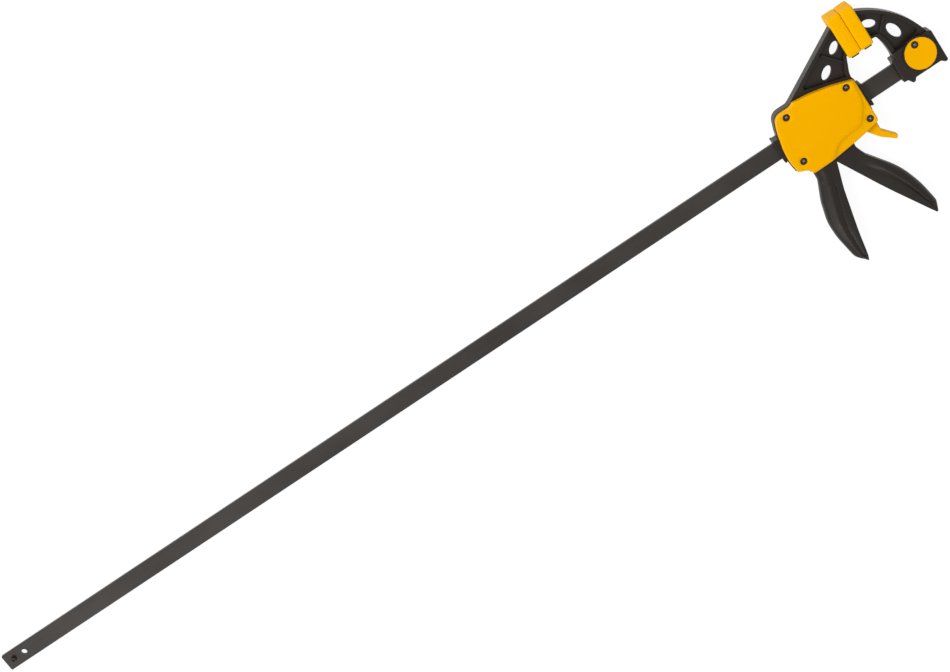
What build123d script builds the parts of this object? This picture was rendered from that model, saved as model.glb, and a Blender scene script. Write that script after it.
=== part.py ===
from build123d import *
import os
from math import cos, radians, tan

# Quick release bar clamp, shown closed.  All sizes are in millimetres and all angles in degrees.
# X runs along the bar towards the fixed jaw, Y from the bar to the jaw tips, Z out of the front cover.
# X = 0 is the plane in which the two pads meet; Y = 0, Z = 0 is the bar's centre line.

# ---------------------------------------------------------------- driving dimensions
OPENING = 1016.0            # travel of the sliding head, 40 inches

BAR_WIDTH = 20.0            # flat bar stock
BAR_THICK = 5.0
BAR_EDGE = 0.5              # broken long edges
BAR_CORNER = 1.5            # rounded corners of the free end
BAR_IN_JAW = 66.0           # X of the bar's end inside the fixed jaw
BAR_END_ROOM = 0.3          # air between the bar's end and the bottom of its pocket

STOP_PIN_R = 3.0            # slotted spring pin that stops the head at full opening
STOP_PIN_BORE_R = 1.75
STOP_PIN_SLOT = 0.8
STOP_PIN_LENGTH = 12.0
STOP_PIN_TO_END = 10.1
STOP_ROOM = 0.3             # air left at full opening
HANG_HOLE_R = 3.5
HANG_HOLE_TO_END = 24.7

SLIDE_GAP = 0.15            # between the bar and its guides, each side
FIT_GAP = 0.05              # between parts pressed or screwed together
MOVE_GAP = 0.3              # between parts that swing past each other

# pads and jaw faces
PAD_LOW_Y = 45.2
PAD_TOP_Y = 94.0
PAD_HALF_Z = 15.6
PAD_DEPTH = 15.1            # from the clamping plane to the pad's back
PAD_FACE = 3.4              # thickness of the clamping face
PAD_TOP_WALL = 3.0
PAD_ROUND = 2.2             # outer corners
PAD_FACE_ROUND = 0.7        # edges of the clamping face
PADS_APART = 0.3
PLATE_THICK = 8.6
PLATE_ROUND = 1.5
PLATE_SHOWS = 1.6           # jaw plate seen below the pad
PLATE_SIDE_WALL = 1.6       # pad wall beside the plate
FIXED_ARM_TOP_Y = 85.6      # where each arm leaves the back of its pad
MOVING_ARM_TOP_Y = 84.9

# sliding head
FRAME_HALF_Z = 7.0
FRAME_WALL = 3.2
WEB_HALF_Z = 2.0            # thin web of both jaws
RIB_WIDTH = 2.7
RIB_HALF_Z = 5.2
HEAD_FRONT_X = -21.8        # front edge of the frame and covers
HEAD_BACK_X = -130.3        # rear face of the rear collar
MOUTH_BACK_X = -106.5       # the frame is open below from here forwards
ARM_FRONT_X = -23.4         # front edge of the jaw arm where it meets the body
COLLAR_FRONT_X = -18.0
COLLAR_HALF_Y = 14.0
COLLAR_HALF_Z = 10.4
COLLAR_DEPTH = 12.5         # length of each collar along the bar
COLLAR_ROUND = 1.5
COLLAR_LIP = 2.4            # length of the proud lip at each collar's mouth
COLLAR_STEP = 0.6           # height of that lip
GUIDE_WALL = 1.9
GUIDE_FLANGE = 1.5
GUIDE_FLANGE_WIDE = 1.4

COVER_OVER_SPRING = 0.4     # between the drive spring and each cover's skin
COVER_SKIN = 2.2
COVER_INSET = 1.0           # frame edge seen round each cover
COVER_ROUND = 2.2
PIN_BOSS_WALL = 2.2         # round the trigger pin's seat in each cover
PANEL_RISE = 1.0            # raised field on each cover
PANEL_REACH_Y = 45.0        # past the cover's edges, above and below
CUT_OVER = 1.0              # how far a cutter reaches past what it cuts

SCREW_R = 1.5
SCREW_CLEAR_R = 1.6
SCREW_HEAD_R = 3.8
SCREW_HEAD_SINK_R = 4.15
SCREW_HEAD_TALL = 1.7
SCREW_HEAD_BELOW = 0.3      # head below the face
SCREW_TIP_Z = -10.5
CROSS_WIDE = 1.0
CROSS_LONG = 4.2
CROSS_DEEP = 1.1
FRAME_POST_R = 4.4          # the frame's posts for the cover screws
COVER_POST_R = 5.4          # the covers' own posts on top of them

# fixed handle
HANDLE_HALF_Z = 11.0
HANDLE_BACK_ROUND = 4.0
HANDLE_BACK_WALL = 4.0
HANDLE_CHEEK_GAP = 0.6      # between the trigger and the handle's cheeks, each side
HANDLE_MIDDLE_X = -91.0     # the line between its back and front crosses Y = 0 here
HANDLE_LEAN = 0.12          # change of that line's X with Y
HANDLE_TIP_X = -113.0       # and below the tip's height it stands at this X
HANDLE_TIP_Y = -150.0

# trigger and drive
FORK_CHEEK = 3.5            # each side of the slot that straddles the bar
FORK_FLOOR_ROOM = 3.0       # below the bar
TRIGGER_GRIP_HALF_Z = 9.6
TRIGGER_GRIP_ROUND = 1.6
TRIGGER_SWING = 22.0
RELIEF_BELOW_NOSE = 15.0    # cut back so that the swing clears the drive plates
TRIGGER_PIVOT = (-66.0, 15.0)
TRIGGER_LOBE_R = 6.0
TRIGGER_PIN_R = 2.5
TRIGGER_PIN_GAP = 0.05
NOSE_BELOW_PIVOT = 17.0     # where the trigger pushes the drive plates
NOSE_BEHIND_PIVOT = 6.5
DRIVE_PLATE_THICK = 2.5
DRIVE_PLATES = 2
DRIVE_PLATE_TOP_Y = 18.0
DRIVE_PLATE_LOW_Y = -14.5
DRIVE_PLATE_HALF_Z = 9.0
WINDOW_GAP = 0.35           # round the bar in the drive plates
DRIVE_SPRING_WIRE = 1.6
DRIVE_SPRING_ROOM = 0.8     # between the bar's edges and the wire
DRIVE_SPRING_TURNS = 8

# brake and release
BRAKE_PIVOT = (-46.2, 16.5)
BRAKE_ABOVE_PIVOT = 1.0     # plate above its fulcrum
FULCRUM_HOOK = 2.0          # hook in front of the plate, below the fulcrum
BRAKE_CANT = 4.2
BRAKE_THICK = 3.0
BRAKE_SIDE_GAP = 0.6        # between the brake plate and each cover
BRAKE_LOW_Y = -31.5
BRAKE_WINDOW_GAP = 0.4
BRAKE_SPRING_WIRE = 0.9
BRAKE_SPRING_COIL_R = 2.9
BRAKE_SPRING_TURNS = 4
BRAKE_SPRING_Y = -21.0
BULKHEAD_X = -55.8          # cross wall between trigger and brake
BULKHEAD_THICK = 2.5
BULKHEAD_LOW_Y = -26.0
BULKHEAD_TOP_Y = 32.0
FULCRUM_LIP = 2.5           # thickness of the hook over the brake plate
RELEASE_PIVOT = (-29.8, -23.3)
RELEASE_HALF_Z = 5.0
RELEASE_ROUND = 1.2
RELEASE_HUB_R = 5.0
BUSH_R = 3.2
BUSH_BELOW_SEAT = 2.0       # cover left between the bush and the screw head

# fixed jaw block
BLOCK_HALF_Z = 11.0
BLOCK_ROUND = 1.5
DISC_CENTRE = (51.0, 6.0)
DISC_R = 17.6
DISC_THICK = 1.9
DISC_EDGE = 0.7
RIM_R = 19.5
RIM_RISE = 1.6
CAP_SCREW = (50.2, 17.8)
CAP_SCREW_PROUD = 0.4       # screw head above the cap's face
CAP_SCREW_GRIP = 0.9        # screw tip inside the back cap
CROSS_PIN_R = 3.0
CROSS_PIN_X = 51.0
PIN_EDGE = 0.4              # chamfer at each pin's ends

# ---------------------------------------------------------------- sizes that follow from them
STOP_PIN_X = HEAD_BACK_X - OPENING - STOP_ROOM - STOP_PIN_R
BAR_FREE_X = STOP_PIN_X - STOP_PIN_TO_END
HANG_HOLE_X = BAR_FREE_X + HANG_HOLE_TO_END
PLATE_FRONT_X = PADS_APART / 2 + PAD_FACE
PLATE_BACK_X = PLATE_FRONT_X + PLATE_THICK
PLATE_LOW_Y = PAD_LOW_Y - PLATE_SHOWS
PLATE_TOP_Y = PAD_TOP_Y - PAD_TOP_WALL
PLATE_HALF_Z = PAD_HALF_Z - PLATE_SIDE_WALL
COVER_INNER_Z = BAR_WIDTH / 2 + DRIVE_SPRING_ROOM + DRIVE_SPRING_WIRE + COVER_OVER_SPRING
COVER_TOP_Z = COVER_INNER_Z + COVER_SKIN
SLOT_HALF_Y = BAR_WIDTH / 2 + SLIDE_GAP
SLOT_HALF_Z = BAR_THICK / 2 + SLIDE_GAP
GUIDE_HALF_Y = SLOT_HALF_Y + GUIDE_WALL
GUIDE_HALF_Z = SLOT_HALF_Z + GUIDE_WALL
NOSE_X = TRIGGER_PIVOT[0] - NOSE_BEHIND_PIVOT
NOSE_Y = TRIGGER_PIVOT[1] - NOSE_BELOW_PIVOT
DRIVE_FRONT_X = NOSE_X - MOVE_GAP
DRIVE_BACK_X = DRIVE_FRONT_X - DRIVE_PLATES * DRIVE_PLATE_THICK
REAR_COLLAR_INNER_X = HEAD_BACK_X + COLLAR_DEPTH
FRONT_COLLAR_INNER_X = COLLAR_FRONT_X - COLLAR_DEPTH
TRIGGER_HALF_Z = FRAME_HALF_Z - MOVE_GAP
FORK_SLOT_HALF = TRIGGER_HALF_Z - FORK_CHEEK
CHANNEL_HALF_Z = TRIGGER_HALF_Z + HANDLE_CHEEK_GAP
DRIVE_SPRING_COIL_R = BAR_WIDTH / 2 + DRIVE_SPRING_ROOM + DRIVE_SPRING_WIRE / 2
BRAKE_HALF_Z = FRAME_HALF_Z - BRAKE_SIDE_GAP
RIM_TOP_Z = BLOCK_HALF_Z + RIM_RISE

SCREW_SEAT_Z = COVER_TOP_Z - PANEL_RISE - SCREW_HEAD_BELOW - SCREW_HEAD_TALL
BUSH_HALF_Z = SCREW_SEAT_Z - BUSH_BELOW_SEAT
CAP_FACE_Z = BLOCK_HALF_Z + DISC_THICK
CAP_SCREW_TOP_Z = CAP_FACE_Z + CAP_SCREW_PROUD
CAP_SCREW_TIP_Z = -BLOCK_HALF_Z - CAP_SCREW_GRIP

COVER_SCREWS = [(-104.1, 29.8), (-34.2, 20.7), RELEASE_PIVOT, (-113.3, -21.9)]
FRAME_POSTS = [COVER_SCREWS[0], COVER_SCREWS[1], COVER_SCREWS[3]]
FRAME_POST_TIES = [(-104.1, 36.0), (-34.2, 26.0), (-124.0, -21.9)]


# ---------------------------------------------------------------- helpers
def outline(*corners):
    """Closed face, looking up Z, from (x, y, corner radius) triples in either order."""
    following = corners[1:] + corners[:1]
    turn = sum(a[0] * b[1] - b[0] * a[1] for a, b in zip(corners, following))
    ordered = corners if turn > 0 else corners[::-1]
    points = [(x, y) for x, y, _ in ordered]
    radii = [r for _, _, r in ordered]
    return make_face(FilletPolyline(*points, radius=radii, close=True))


def both_sides(face, half):
    """Extrude a face evenly to both sides of Z = 0."""
    return extrude(face, half, both=True)


def slab(face, low, high):
    """Extrude a face from Z = low to Z = high."""
    return extrude(Pos(0, 0, low) * face, high - low)


def block(x, y, z):
    """Box from three (low, high) pairs."""
    middle = Pos((x[0] + x[1]) / 2, (y[0] + y[1]) / 2, (z[0] + z[1]) / 2)
    return middle * Box(x[1] - x[0], y[1] - y[0], z[1] - z[0])


def rod(place, radius, low, high):
    """Round bar along Z at (x, y)."""
    standing = (Align.CENTER, Align.CENTER, Align.MIN)
    return Pos(place[0], place[1], low) * Cylinder(radius, high - low, align=standing)


def oval(x, y, angle, length, width):
    """Elliptical hole outline."""
    return Pos(x, y) * Rot(0, 0, angle) * Ellipse(length / 2, width / 2)


def rib(start, end, width):
    """Straight rib between two points."""
    length = (Vector(*end) - Vector(*start)).length
    angle = (Vector(*end) - Vector(*start)).get_angle(Vector(1, 0, 0))
    side = 1 if end[1] > start[1] else -1
    middle = ((start[0] + end[0]) / 2, (start[1] + end[1]) / 2)
    return Pos(*middle) * Rot(0, 0, side * angle) * Rectangle(length, width)


def coil(radius, wire, turns, low_x, high_x, centre_y=0.0):
    """Compression spring along X between two planes."""
    height = high_x - low_x - 2 * wire
    path = Helix(pitch=height / turns, height=height, radius=radius)
    ring = Plane(origin=path @ 0, z_dir=path % 0) * Circle(wire / 2)
    spring = sweep(ring, path=path)
    return Pos(low_x + wire, centre_y, 0) * Rot(0, 90, 0) * spring


def cross_head_screw(place, head_top, tip):
    """Pan-head screw pointing down Z with a cross recess in its head."""
    head = rod(place, SCREW_HEAD_R, head_top - SCREW_HEAD_TALL, head_top)
    head = fillet(head.edges().group_by(Axis.Z)[-1], SCREW_HEAD_TALL * 0.5)
    screw = head + rod(place, SCREW_R, tip, head_top - SCREW_HEAD_TALL)
    for turn in (0, 90):
        slot = Rot(0, 0, 45 + turn) * Box(CROSS_LONG, CROSS_WIDE, 2 * CROSS_DEEP)
        screw -= Pos(place[0], place[1], head_top) * slot
    return screw


# ---------------------------------------------------------------- outlines shared by several parts
def body_outline():
    """Side outline of the sliding head, common to its frame and its covers."""
    return outline(
        (HEAD_FRONT_X, 23.6, 4.0),
        (HEAD_FRONT_X, -31.6, 6.0),
        (-49.7, -37.0, 150.0),
        (-84.0, -41.0, 100.0),
        (-110.3, -41.5, 4.0),
        (-115.6, -34.2, 5.0),
        (-125.6, -29.6, 4.0),
        (-127.4, -14.0, 40.0),
        (-126.4, 1.2, 60.0),
        (-121.4, 21.0, 60.0),
        (-115.6, 37.7, 12.0),
        (-96.0, 37.6, 5.0),
        (-90.3, 40.2, 4.0),
        (-70.2, 37.9, 90.0),
        (-45.0, 31.9, 120.0),
    )


def handle_outline():
    """Side outline of the fixed handle, from inside the body down to its tip."""
    return outline(
        (-110.8, -27.0, 1.0),
        (-111.0, -53.0, 14.0),
        (-120.8, -76.5, 60.0),
        (-127.0, -101.0, 60.0),
        (-126.6, -121.0, 60.0),
        (-122.0, -149.5, 12.0),
        (-111.5, -162.3, 2.5),
        (-108.6, -156.0, 4.0),
        (-103.5, -125.0, 200.0),
        (-92.5, -75.0, 100.0),
        (-82.0, -40.5, 6.0),
        (-82.0, -27.0, 1.0),
    )


def handle_channel():
    """Inside of the fixed handle, open towards the trigger."""
    back = HANDLE_BACK_WALL
    return outline(
        (-110.8 + back, -20.0, 0.0),
        (-111.0 + back, -53.0, 14.0),
        (-120.8 + back, -76.5, 60.0),
        (-127.0 + back, -101.0, 60.0),
        (-126.6 + back, -121.0, 60.0),
        (-122.0 + back, -145.0, 4.0),
        (-100.0, -145.0, 0.0),
        (-78.0, -45.0, 0.0),
        (-78.0, -20.0, 0.0),
    )


def moving_arm_outline():
    """Side outline of the sliding jaw's triangular arm."""
    return outline(
        (-PLATE_BACK_X, MOVING_ARM_TOP_Y, 0.0),
        (-92.8, 39.0, 3.0),
        (-92.8, 30.0, 0.0),
        (-40.0, COLLAR_HALF_Y, 0.0),
        (ARM_FRONT_X, COLLAR_HALF_Y, 0.0),
        (ARM_FRONT_X, 28.5, 30.0),
        (-15.6, 48.0, 3.0),
        (-PLATE_BACK_X, 48.4, 0.0),
    )


def moving_arm_recess():
    """Sunk field between the moving arm's flanges."""
    return outline(
        (-15.2, 79.5, 1.5),
        (-72.5, 45.6, 1.0),
        (-72.5, 43.9, 1.0),
        (-27.3, 30.2, 2.0),
        (-27.0, 33.5, 12.0),
        (-18.6, 49.5, 3.0),
        (-15.2, 52.5, 1.5),
    )


def fixed_arm_outline():
    """Side outline of the fixed jaw's curved arm."""
    return outline(
        (PLATE_BACK_X, FIXED_ARM_TOP_Y, 0.0),
        (53.9, 65.7, 100.0),
        (69.2, 22.0, 2.0),
        (69.2, 8.0, 0.0),
        (25.0, 8.0, 0.0),
        (25.0, 15.8, 0.0),
        (25.3, 26.0, 60.0),
        (24.0, 38.0, 40.0),
        (20.8, 47.6, 3.0),
        (PLATE_BACK_X, 48.0, 0.0),
    )


def fixed_arm_recess():
    """Sunk field between the fixed arm's flanges."""
    return outline(
        (15.4, 79.6, 1.5),
        (50.4, 60.6, 80.0),
        (62.2, 27.0, 3.0),
        (30.2, 22.0, 2.0),
        (30.0, 27.0, 20.0),
        (28.8, 38.0, 20.0),
        (25.2, 48.6, 4.0),
        (15.4, 51.6, 1.5),
    )


def fixed_block_outline():
    """Side outline of the fixed jaw's block, with its two small feet."""
    return outline(
        (20.8, 15.8, 1.5),
        (20.8, -12.0, 1.5),
        (25.6, -12.2, 2.0),
        (29.0, -17.8, 1.4),
        (31.9, -17.8, 1.4),
        (34.4, -14.3, 2.0),
        (65.5, -14.3, 3.0),
        (69.4, -17.8, 1.5),
        (73.1, -17.8, 2.2),
        (73.1, 20.3, 1.5),
        (68.9, 22.4, 2.0),
        (25.8, 22.4, 2.0),
        (25.0, 15.8, 0.0),
    )


# ---------------------------------------------------------------- bar
def slide_bar():
    """Flat steel bar with its pin holes and hanging hole."""
    bar = block(
        (BAR_FREE_X, BAR_IN_JAW),
        (-BAR_WIDTH / 2, BAR_WIDTH / 2),
        (-BAR_THICK / 2, BAR_THICK / 2),
    )
    bar = fillet(bar.edges().filter_by(Axis.Z).group_by(Axis.X)[0], BAR_CORNER)
    bar = chamfer(bar.edges().filter_by(Axis.X), BAR_EDGE)
    through = BAR_THICK
    bar -= rod((STOP_PIN_X, 0), STOP_PIN_R + FIT_GAP, -through, through)
    bar -= rod((HANG_HOLE_X, 0), HANG_HOLE_R, -through, through)
    bar -= rod((CROSS_PIN_X, 0), CROSS_PIN_R + FIT_GAP, -through, through)
    return bar


def bar_stop_pin():
    """Slotted tube across the bar's free end."""
    half = STOP_PIN_LENGTH / 2
    pin = rod((STOP_PIN_X, 0), STOP_PIN_R, -half, half)
    pin = chamfer(pin.edges(), PIN_EDGE)
    pin -= rod((STOP_PIN_X, 0), STOP_PIN_BORE_R, -half, half)
    slot = (-STOP_PIN_SLOT / 2, STOP_PIN_SLOT / 2)
    pin -= block((STOP_PIN_X, STOP_PIN_X + 2 * STOP_PIN_R), slot, (-half, half))
    return pin


# ---------------------------------------------------------------- jaws and pads
def jaw_plate():
    """Flat plate behind a pad, on the +X side of the clamping plane."""
    plate = block((PLATE_FRONT_X, PLATE_BACK_X), (PLATE_LOW_Y, PLATE_TOP_Y), (-PLATE_HALF_Z, PLATE_HALF_Z))
    return fillet(plate.edges().filter_by(Axis.X), PLATE_ROUND)


def pad(arm_top):
    """Soft cap over a jaw plate, on the +X side; arm_top is where the arm leaves its back."""
    cap = block((PADS_APART / 2, PAD_DEPTH), (PAD_LOW_Y, PAD_TOP_Y), (-PAD_HALF_Z, PAD_HALF_Z))
    cap = fillet(cap.edges().filter_by(Axis.X), PAD_ROUND)
    cap = fillet(cap.edges().group_by(Axis.X)[0], PAD_FACE_ROUND)
    cap = fillet(cap.edges().group_by(Axis.X)[-1], PAD_ROUND - PAD_FACE_ROUND)
    room = block(
        (PLATE_FRONT_X - FIT_GAP, PLATE_BACK_X + FIT_GAP),
        (PLATE_LOW_Y, PLATE_TOP_Y + FIT_GAP),
        (-PLATE_HALF_Z - FIT_GAP, PLATE_HALF_Z + FIT_GAP),
    )
    arm_half = FRAME_HALF_Z + FIT_GAP
    behind = (PLATE_BACK_X - CUT_OVER, PAD_DEPTH + CUT_OVER)
    throat = block(behind, (PLATE_LOW_Y, arm_top), (-arm_half, arm_half))
    return cap - room - throat


def fixed_jaw():
    """Fixed jaw: block round the bar's end, curved arm and jaw plate."""
    recess = fixed_arm_recess()
    arm = both_sides(fixed_arm_outline(), FRAME_HALF_Z)
    for side in (1, -1):
        arm -= slab(recess, side * WEB_HALF_Z, side * 2 * FRAME_HALF_Z)
    arm += both_sides(rib((28.1, 48.8), (39.6, 62.0), RIB_WIDTH), RIB_HALF_Z)
    arm -= both_sides(oval(22.1, 62.4, -32, 15.9, 9.3), FRAME_HALF_Z)
    arm -= both_sides(oval(41.0, 40.8, -71, 20.5, 10.8), FRAME_HALF_Z)
    body = both_sides(fixed_block_outline(), BLOCK_HALF_Z)
    body = fillet(body.faces().filter_by(Axis.Z).edges(), BLOCK_ROUND)
    body += rod(DISC_CENTRE, RIM_R, -RIM_TOP_Z, RIM_TOP_Z)
    jaw = arm + body + jaw_plate()
    seat = Pos(*DISC_CENTRE) * Circle(DISC_R + FIT_GAP)
    for side in (1, -1):
        jaw -= slab(seat, side * BLOCK_HALF_Z, side * 2 * BLOCK_HALF_Z)
    half_y = BAR_WIDTH / 2 + FIT_GAP
    half_z = BAR_THICK / 2 + FIT_GAP
    jaw -= block((0, BAR_IN_JAW + BAR_END_ROOM), (-half_y, half_y), (-half_z, half_z))
    jaw -= rod((CROSS_PIN_X, 0), CROSS_PIN_R + FIT_GAP, -BLOCK_HALF_Z, BLOCK_HALF_Z)
    jaw -= rod(CAP_SCREW, SCREW_CLEAR_R, -BLOCK_HALF_Z, BLOCK_HALF_Z)
    return jaw


def jaw_cross_pin():
    """Steel pin that holds the bar in the fixed jaw, hidden under the round caps."""
    pin = rod((CROSS_PIN_X, 0), CROSS_PIN_R, -BLOCK_HALF_Z, BLOCK_HALF_Z)
    return chamfer(pin.edges(), PIN_EDGE)


def jaw_cap(side):
    """Round cap in the rim of the fixed jaw; side is 1 in front and -1 behind."""
    low, high = BLOCK_HALF_Z, BLOCK_HALF_Z + DISC_THICK
    cap = rod(DISC_CENTRE, DISC_R, low, high)
    cap = fillet(cap.edges().group_by(Axis.Z)[-1], DISC_EDGE)
    if side > 0:
        cap -= rod(CAP_SCREW, SCREW_CLEAR_R, low, high)
        return cap - rod(CAP_SCREW, SCREW_HEAD_SINK_R, CAP_SCREW_TOP_Z - SCREW_HEAD_TALL, high)
    hole = rod(CAP_SCREW, SCREW_R + FIT_GAP, low, -CAP_SCREW_TIP_Z + FIT_GAP)
    return mirror(cap - hole, Plane.XY)


def jaw_cap_screw():
    """Screw through the front cap and the block into the back cap."""
    return cross_head_screw(CAP_SCREW, CAP_SCREW_TOP_Z, CAP_SCREW_TIP_Z)


# ---------------------------------------------------------------- sliding head
def collar(inner_x, mouth_x):
    """Thick sleeve of the frame round the bar, with a proud lip at its mouth."""
    step = COLLAR_STEP
    inward = 1 if inner_x > mouth_x else -1
    sleeve = block(
        sorted((inner_x, mouth_x)),
        (step - COLLAR_HALF_Y, COLLAR_HALF_Y - step),
        (step - COLLAR_HALF_Z, COLLAR_HALF_Z - step),
    )
    lip_x = sorted((mouth_x, mouth_x + inward * COLLAR_LIP))
    lip = block(lip_x, (-COLLAR_HALF_Y, COLLAR_HALF_Y), (-COLLAR_HALF_Z, COLLAR_HALF_Z))
    lip = fillet(lip.edges().filter_by(Axis.X), COLLAR_ROUND)
    return fillet(sleeve.edges().filter_by(Axis.X), COLLAR_ROUND) + lip


def guide_room(low_x, high_x):
    """Hole in a collar that takes its bar guide."""
    half_y = GUIDE_HALF_Y + FIT_GAP
    half_z = GUIDE_HALF_Z + FIT_GAP
    return block((low_x, high_x), (-half_y, half_y), (-half_z, half_z))


def frame_post(place, tie):
    """Post for a cover screw with a rib that ties it to the ring's wall."""
    post = rod(place, FRAME_POST_R, -FRAME_HALF_Z, FRAME_HALF_Z)
    return post + both_sides(rib(place, tie, FRAME_POST_R), FRAME_HALF_Z)


def frame_ring():
    """Open ring of the sliding head between the two covers."""
    outer = body_outline()
    ring = both_sides(outer, FRAME_HALF_Z) - both_sides(offset(outer, -FRAME_WALL), FRAME_HALF_Z)
    below = outer.bounding_box().min.Y - CUT_OVER
    mouth_x = (MOUTH_BACK_X, HEAD_FRONT_X + CUT_OVER)
    ring -= block(mouth_x, (below, -COLLAR_HALF_Y - FRAME_WALL), (-FRAME_HALF_Z, FRAME_HALF_Z))
    for place, tie in zip(FRAME_POSTS, FRAME_POST_TIES):
        ring += frame_post(place, tie)
    return ring


def bulkhead():
    """Cross wall between trigger and brake, with the brake plate's fulcrum above the bar."""
    full = (-FRAME_HALF_Z, FRAME_HALF_Z)
    wall = block((BULKHEAD_X, BULKHEAD_X + BULKHEAD_THICK), (BULKHEAD_LOW_Y, BULKHEAD_TOP_Y), full)
    half_y = BAR_WIDTH / 2 + MOVE_GAP
    half_z = BAR_THICK / 2 + MOVE_GAP
    through = (BULKHEAD_X - CUT_OVER, BULKHEAD_X + BULKHEAD_THICK + CUT_OVER)
    wall -= block(through, (-half_y, half_y), (-half_z, half_z))
    pivot_x, pivot_y = BRAKE_PIVOT
    front = pivot_x + BRAKE_THICK / 2 + MOVE_GAP
    seat_y = pivot_y + BRAKE_ABOVE_PIVOT + MOVE_GAP
    seat = block((BULKHEAD_X, front + FULCRUM_LIP), (seat_y, BULKHEAD_TOP_Y), full)
    lip = block((front, front + FULCRUM_LIP), (pivot_y - FULCRUM_HOOK, seat_y), full)
    return wall + seat + lip


def moving_arm():
    """Triangular jaw arm of the sliding head with its jaw plate."""
    arm = both_sides(moving_arm_outline(), FRAME_HALF_Z)
    recess = moving_arm_recess()
    for side in (1, -1):
        arm -= slab(recess, side * WEB_HALF_Z, side * 2 * FRAME_HALF_Z)
    arm += both_sides(rib((-23.9, 45.5), (-35.8, 59.6), RIB_WIDTH), RIB_HALF_Z)
    arm -= both_sides(oval(-22.2, 61.5, 41, 15.3, 8.9), FRAME_HALF_Z)
    arm -= both_sides(oval(-42.5, 42.8, 39, 16.8, 9.4), FRAME_HALF_Z)
    return arm + mirror(jaw_plate(), Plane.YZ)


def fixed_handle():
    """Channel-shaped grip with a round back, open towards the trigger."""
    grip = both_sides(handle_outline(), HANDLE_HALF_Z)
    rims = grip.faces().filter_by(Axis.Z).edges()
    grip = fillet(rims.filter_by(lambda edge: is_handle_back(edge @ 0.5)), HANDLE_BACK_ROUND)
    return grip - both_sides(handle_channel(), CHANNEL_HALF_Z)


def is_handle_back(point):
    """True behind the slanted line that parts the handle's back from its front."""
    if point.Y < HANDLE_TIP_Y:
        return point.X < HANDLE_TIP_X
    return point.X < HANDLE_MIDDLE_X + HANDLE_LEAN * point.Y


def slider_frame():
    """One moulding: jaw arm, body ring, collars and fixed handle."""
    cavity = both_sides(offset(body_outline(), -FRAME_WALL), FRAME_HALF_Z)
    frame = frame_ring() + (moving_arm() - (cavity - both_sides(moving_arm_recess(), FRAME_HALF_Z)))
    frame += bulkhead() + fixed_handle()
    frame += collar(FRONT_COLLAR_INNER_X, COLLAR_FRONT_X)
    frame += collar(REAR_COLLAR_INNER_X, HEAD_BACK_X)
    frame -= guide_room(HEAD_BACK_X - CUT_OVER, REAR_COLLAR_INNER_X)
    frame -= guide_room(FRONT_COLLAR_INNER_X, COLLAR_FRONT_X + CUT_OVER)
    for place in FRAME_POSTS:
        frame -= rod(place, SCREW_CLEAR_R, -FRAME_HALF_Z, FRAME_HALF_Z)
    return frame


def bar_guide(outer_x, inner_x):
    """Low-friction sleeve in a collar; its flange lies on the collar's inner face."""
    low, high = sorted((outer_x, inner_x))
    inward = 1 if inner_x > outer_x else -1
    sleeve = block((low, high), (-GUIDE_HALF_Y, GUIDE_HALF_Y), (-GUIDE_HALF_Z, GUIDE_HALF_Z))
    flange_x = sorted((inner_x, inner_x + inward * GUIDE_FLANGE))
    half_y = GUIDE_HALF_Y + GUIDE_FLANGE_WIDE
    half_z = GUIDE_HALF_Z + GUIDE_FLANGE_WIDE
    sleeve += block(flange_x, (-half_y, half_y), (-half_z, half_z))
    long = (low - GUIDE_FLANGE, high + GUIDE_FLANGE)
    return sleeve - block(long, (-SLOT_HALF_Y, SLOT_HALF_Y), (-SLOT_HALF_Z, SLOT_HALF_Z))


# ---------------------------------------------------------------- covers
def panel_outline():
    """Raised field of a cover, ending in a curved crease at its front and lower edges."""
    return outline(
        (-20.0, PANEL_REACH_Y, 0.0),
        (-25.6, 12.0, 30.0),
        (-26.6, -3.0, 25.0),
        (-40.5, -24.0, 14.0),
        (-72.0, -26.0, 25.0),
        (-88.0, -PANEL_REACH_Y, 0.0),
        (HEAD_BACK_X, -PANEL_REACH_Y, 0.0),
        (HEAD_BACK_X, PANEL_REACH_Y, 0.0),
    )


def cover_blank():
    """Front cover without its openings."""
    outer = offset(body_outline(), -COVER_INSET)
    shell = slab(outer, FRAME_HALF_Z, COVER_TOP_Z)
    top = shell.faces().sort_by(Axis.Z)[-1]
    shell = fillet(top.edges(), COVER_ROUND)
    outside = offset(outer, CUT_OVER) - panel_outline()
    shell -= slab(outside, COVER_TOP_Z - PANEL_RISE, COVER_TOP_Z)
    shell -= slab(offset(outer, -COVER_SKIN), FRAME_HALF_Z, COVER_INNER_Z)
    for place in COVER_SCREWS:
        post = rod(place, COVER_POST_R, FRAME_HALF_Z, COVER_TOP_Z - PANEL_RISE)
        shell += post & slab(outer, FRAME_HALF_Z, COVER_TOP_Z)
    shell += rod(TRIGGER_PIVOT, TRIGGER_PIN_R + PIN_BOSS_WALL, FRAME_HALF_Z, COVER_INNER_Z)
    shell -= rod(TRIGGER_PIVOT, TRIGGER_PIN_R + FIT_GAP, 0, COVER_INNER_Z)
    return shell


def cover_openings():
    """Rooms in a cover for the two collars, the handle and the guide flanges."""
    half_y = COLLAR_HALF_Y - COLLAR_STEP + FIT_GAP
    half_z = COLLAR_HALF_Z - COLLAR_STEP + FIT_GAP
    rooms = block((HEAD_BACK_X, REAR_COLLAR_INNER_X + FIT_GAP), (-half_y, half_y), (0, half_z))
    rooms += block((FRONT_COLLAR_INNER_X - FIT_GAP, COLLAR_FRONT_X), (-half_y, half_y), (0, half_z))
    return rooms + slab(offset(handle_outline(), FIT_GAP), 0, HANDLE_HALF_Z + FIT_GAP)


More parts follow.
